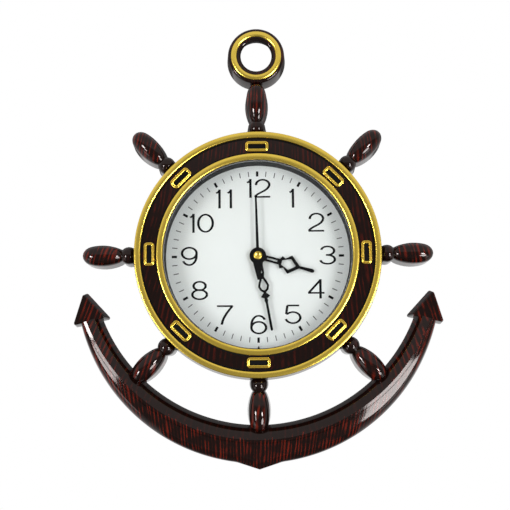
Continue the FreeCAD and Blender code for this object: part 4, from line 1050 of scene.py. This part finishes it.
for name, node, body in (("bold_hour_hand", "hour_hand", "hour"),
                         ("bold_minute_hand", "minute_hand", "minute"),
                         ("bold_second_hand", "second_hand", "seconds")):
    lacquered(name, node, body)

# %% [markdown]
# The dial is printed: a tick for every minute, heavier at each hour, and plain upright numerals. The ink is
# modelled as a film, so that it stays sharp from any distance.

# %% Minute track
DIAL_FACE = 18.8
INK = 0.04
TICK_RADIUS = 70.3
TICK_LENGTH = 4.4
HOUR_TICK = 2.0
MINUTE_TICK = 0.75
HOUR_TURNS = range(0, 360, 30)
MINUTE_TURNS = [turn for turn in range(0, 360, 6) if turn not in HOUR_TURNS]


def make_ticks(name, width, turns, ink):
    """One tick at the top of the dial, copied to each of its turns."""
    tick = fresh("tick", bpy.ops.mesh.primitive_cube_add, size=1,
                 location=Vector((0, -(DIAL_FACE + INK / 2), TICK_RADIUS)) * MM,
                 scale=Vector((width, INK, TICK_LENGTH)) * MM)
    piece = joined(name, [copied(tick, f"tick_{turn}", turn) for turn in turns])
    bpy.data.objects.remove(tick)
    dressed(piece, ink)
    finished(piece)


make_ticks("hour_ticks", HOUR_TICK, HOUR_TURNS, black_print)
make_ticks("minute_ticks", MINUTE_TICK, MINUTE_TURNS, grey_print)

# %% [markdown]
# The numerals are wide and light, as if drawn with a flat pen: upright strokes come out thicker than level
# ones. Each is a set of pen strokes, given as points across and up from its middle in millimetres. A stroke
# is a round tube along a path, squeezed sideways first and stretched after, so that the round pen turns
# into a flat one.

# %% Strokes of the numerals
TOP = 7.0
SIDE = 5.9
PEN_HALF = 0.72
PEN_TOP = TOP + PEN_HALF


def arc(x, z, across, up, start, end, steps=18):
    """Points of an ellipse from one angle to another."""
    turns = [math.radians(start + (end - start) * step / steps) for step in range(steps + 1)]
    return [(x + across * math.cos(turn), z + up * math.sin(turn)) for turn in turns]


GLYPHS = {
    "0": [arc(0, 0, SIDE, TOP, 0, 360, 32)],
    "1": [[(0, -PEN_TOP), (0, PEN_TOP)], [(0.2, TOP), (-1.1, TOP - 1.5), (-2.7, TOP - 2.3)]],
    "2": [arc(0.2, 3.0, 5.4, 4.0, 186, -8)
          + [(5.1, 1.3), (3.7, -0.5), (1.3, -2.1), (-1.6, -3.5), (-4.1, -4.9), (-5.4, -6.0), (-5.9, -TOP)],
          [(-6.4, -TOP), (6.3, -TOP)]],
    "3": [arc(0.1, 3.55, 5.3, 3.45, 168, -90) + [(-1.3, 0.1)],
          [(-1.3, 0.1), (0, 0.1)] + arc(0, -3.45, SIDE, 3.55, 90, -170)],
    "4": [[(3.4, -PEN_TOP), (3.4, PEN_TOP)], [(-6.6, -3.2), (6.6, -3.2)], [(3.4, TOP), (-6.2, -3.2)]],
    "5": [[(-4.5, TOP), (5.2, TOP)], [(-4.4, TOP), (-5.4, 0.2)],
          [(-5.4, 0.2)] + arc(0, -2.6, SIDE, 4.4, 138, -166, 26)],
    "6": [arc(0.1, -0.2, SIDE, 7.2, 34, 180) + [(-SIDE, -2.4)], arc(0, -2.4, SIDE, 4.6, 0, 360, 30)],
    "7": [[(-6.4, TOP), (6.4, TOP)],
          [(6.0, TOP), (3.7, 4.2), (1.5, 1.4), (-0.4, -1.6), (-1.8, -4.6), (-2.6, -PEN_TOP)]],
    "8": [arc(0, 3.6, 4.9, 3.4, 0, 360, 26), arc(0, -3.3, SIDE, 3.7, 0, 360, 30)],
    "9": [arc(-0.1, 0.2, SIDE, 7.2, 214, 360) + [(SIDE, 2.4)], arc(0, 2.4, SIDE, 4.6, 0, 360, 30)],
}
print("figures drawn:", len(GLYPHS))

# %% [markdown]
# The numerals stand upright round the dial, but not quite on an even circle, so each hour has a small step
# of its own aside and up. The figures of 10 and 12 are set at one distance, and the two ones of 11 at
# another, because they are narrow.

# %% Numerals
NUMERAL_RADIUS = 57.7
PEN_STRETCH = 1.45
GLYPH_SCALE = (1.04, 1.05)
PAIR_SHIFTS = (-7.1, 3.1)
ELEVEN_SHIFTS = (-4.3, 5.3)
NUDGE = {
    1: (1.3, -0.8), 2: (-0.4, -0.4), 3: (0.9, 0.4), 4: (-1.3, 0.9), 5: (0.0, 0.9), 6: (0.2, 0.3),
    7: (0.9, 0.9), 8: (0.9, 0.4), 9: (0.0, 0.4), 10: (2.9, -0.4), 11: (1.1, -0.9), 12: (1.3, 0.2),
}


def pen_stroke(path, shift):
    """One stroke as a tube along its path, squeezed sideways."""
    deselect()
    bpy.ops.curve.primitive_nurbs_path_add()
    piece = bpy.context.object
    piece.data.splines.clear()
    line = piece.data.splines.new("POLY")
    line.points.add(len(path) - 1)
    for point, (x, z) in zip(line.points, path):
        point.co = ((x * GLYPH_SCALE[0] + shift) * MM / PEN_STRETCH, 0, z * GLYPH_SCALE[1] * MM, 1)
    piece.data.bevel_depth = PEN_HALF * MM
    piece.data.bevel_resolution = 2
    piece.data.use_fill_caps = True
    bpy.ops.object.convert(target="MESH")
    return bpy.context.object


def digit_shifts(digits):
    """How far each figure of a numeral stands aside from its middle."""
    if digits == "11":
        return ELEVEN_SHIFTS
    return PAIR_SHIFTS if len(digits) == 2 else (0.0,)


def numeral(hour):
    """One numeral, upright, centred on its place and pressed flat on the dial."""
    turn = math.radians(hour * 30)
    digits = str(hour)
    strokes = [pen_stroke(path, shift)
               for digit, shift in zip(digits, digit_shifts(digits)) for path in GLYPHS[digit]]
    piece = joined(f"numeral_{hour}", strokes)
    aside, lift = NUDGE[hour]
    place = Vector((NUMERAL_RADIUS * math.sin(turn) + aside, -(DIAL_FACE + INK / 2),
                    NUMERAL_RADIUS * math.cos(turn) + lift)) * MM
    press = Matrix.Diagonal((PEN_STRETCH, INK / (PEN_HALF * 2), 1, 1))
    piece.data.transform(Matrix.Translation(place) @ press @ piece.matrix_world)
    piece.matrix_world = Matrix.Identity(4)
    return piece


numerals = joined("numerals", [numeral(hour) for hour in range(1, 13)])
dressed(numerals, black_print)
finished(numerals)

# %% [markdown]
# The clock hangs in front of nothing, so the stage is one pale floor far below it. To the camera the floor
# is as white as the tent.

# %% Floor
FLOOR_SIZE = 4.0
FLOOR_HEIGHT = -3.0
floor = fresh("floor", bpy.ops.mesh.primitive_plane_add, size=FLOOR_SIZE, location=(0, 0, FLOOR_HEIGHT))
floor_finish = plain_finish("pale_floor", (0.22, 0.22, 0.22), (0.20, 0.20, 0.20), (0.8, 0.9), bump=0.0)
tree = floor_finish.node_tree
shader = tree.nodes["Principled BSDF"]
shader.inputs["Emission Color"].default_value = (1, 1, 1, 1)
ray = tree.nodes.new("ShaderNodeLightPath").outputs
tree.links.new(ray["Is Camera Ray"], shader.inputs["Emission Strength"])
dressed(floor, floor_finish)
floor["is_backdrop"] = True
print("floor at:", FLOOR_HEIGHT)

# %% [markdown]
# The last cell prints the two boxes, of the imported solids and of the dressed clock.

# %% Sizes and finish
deselect()
drawn_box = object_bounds()
rows = [[[float(value) for value in corner] for corner in box] for box in (cad_box, drawn_box)]
print("boxes:", rows)
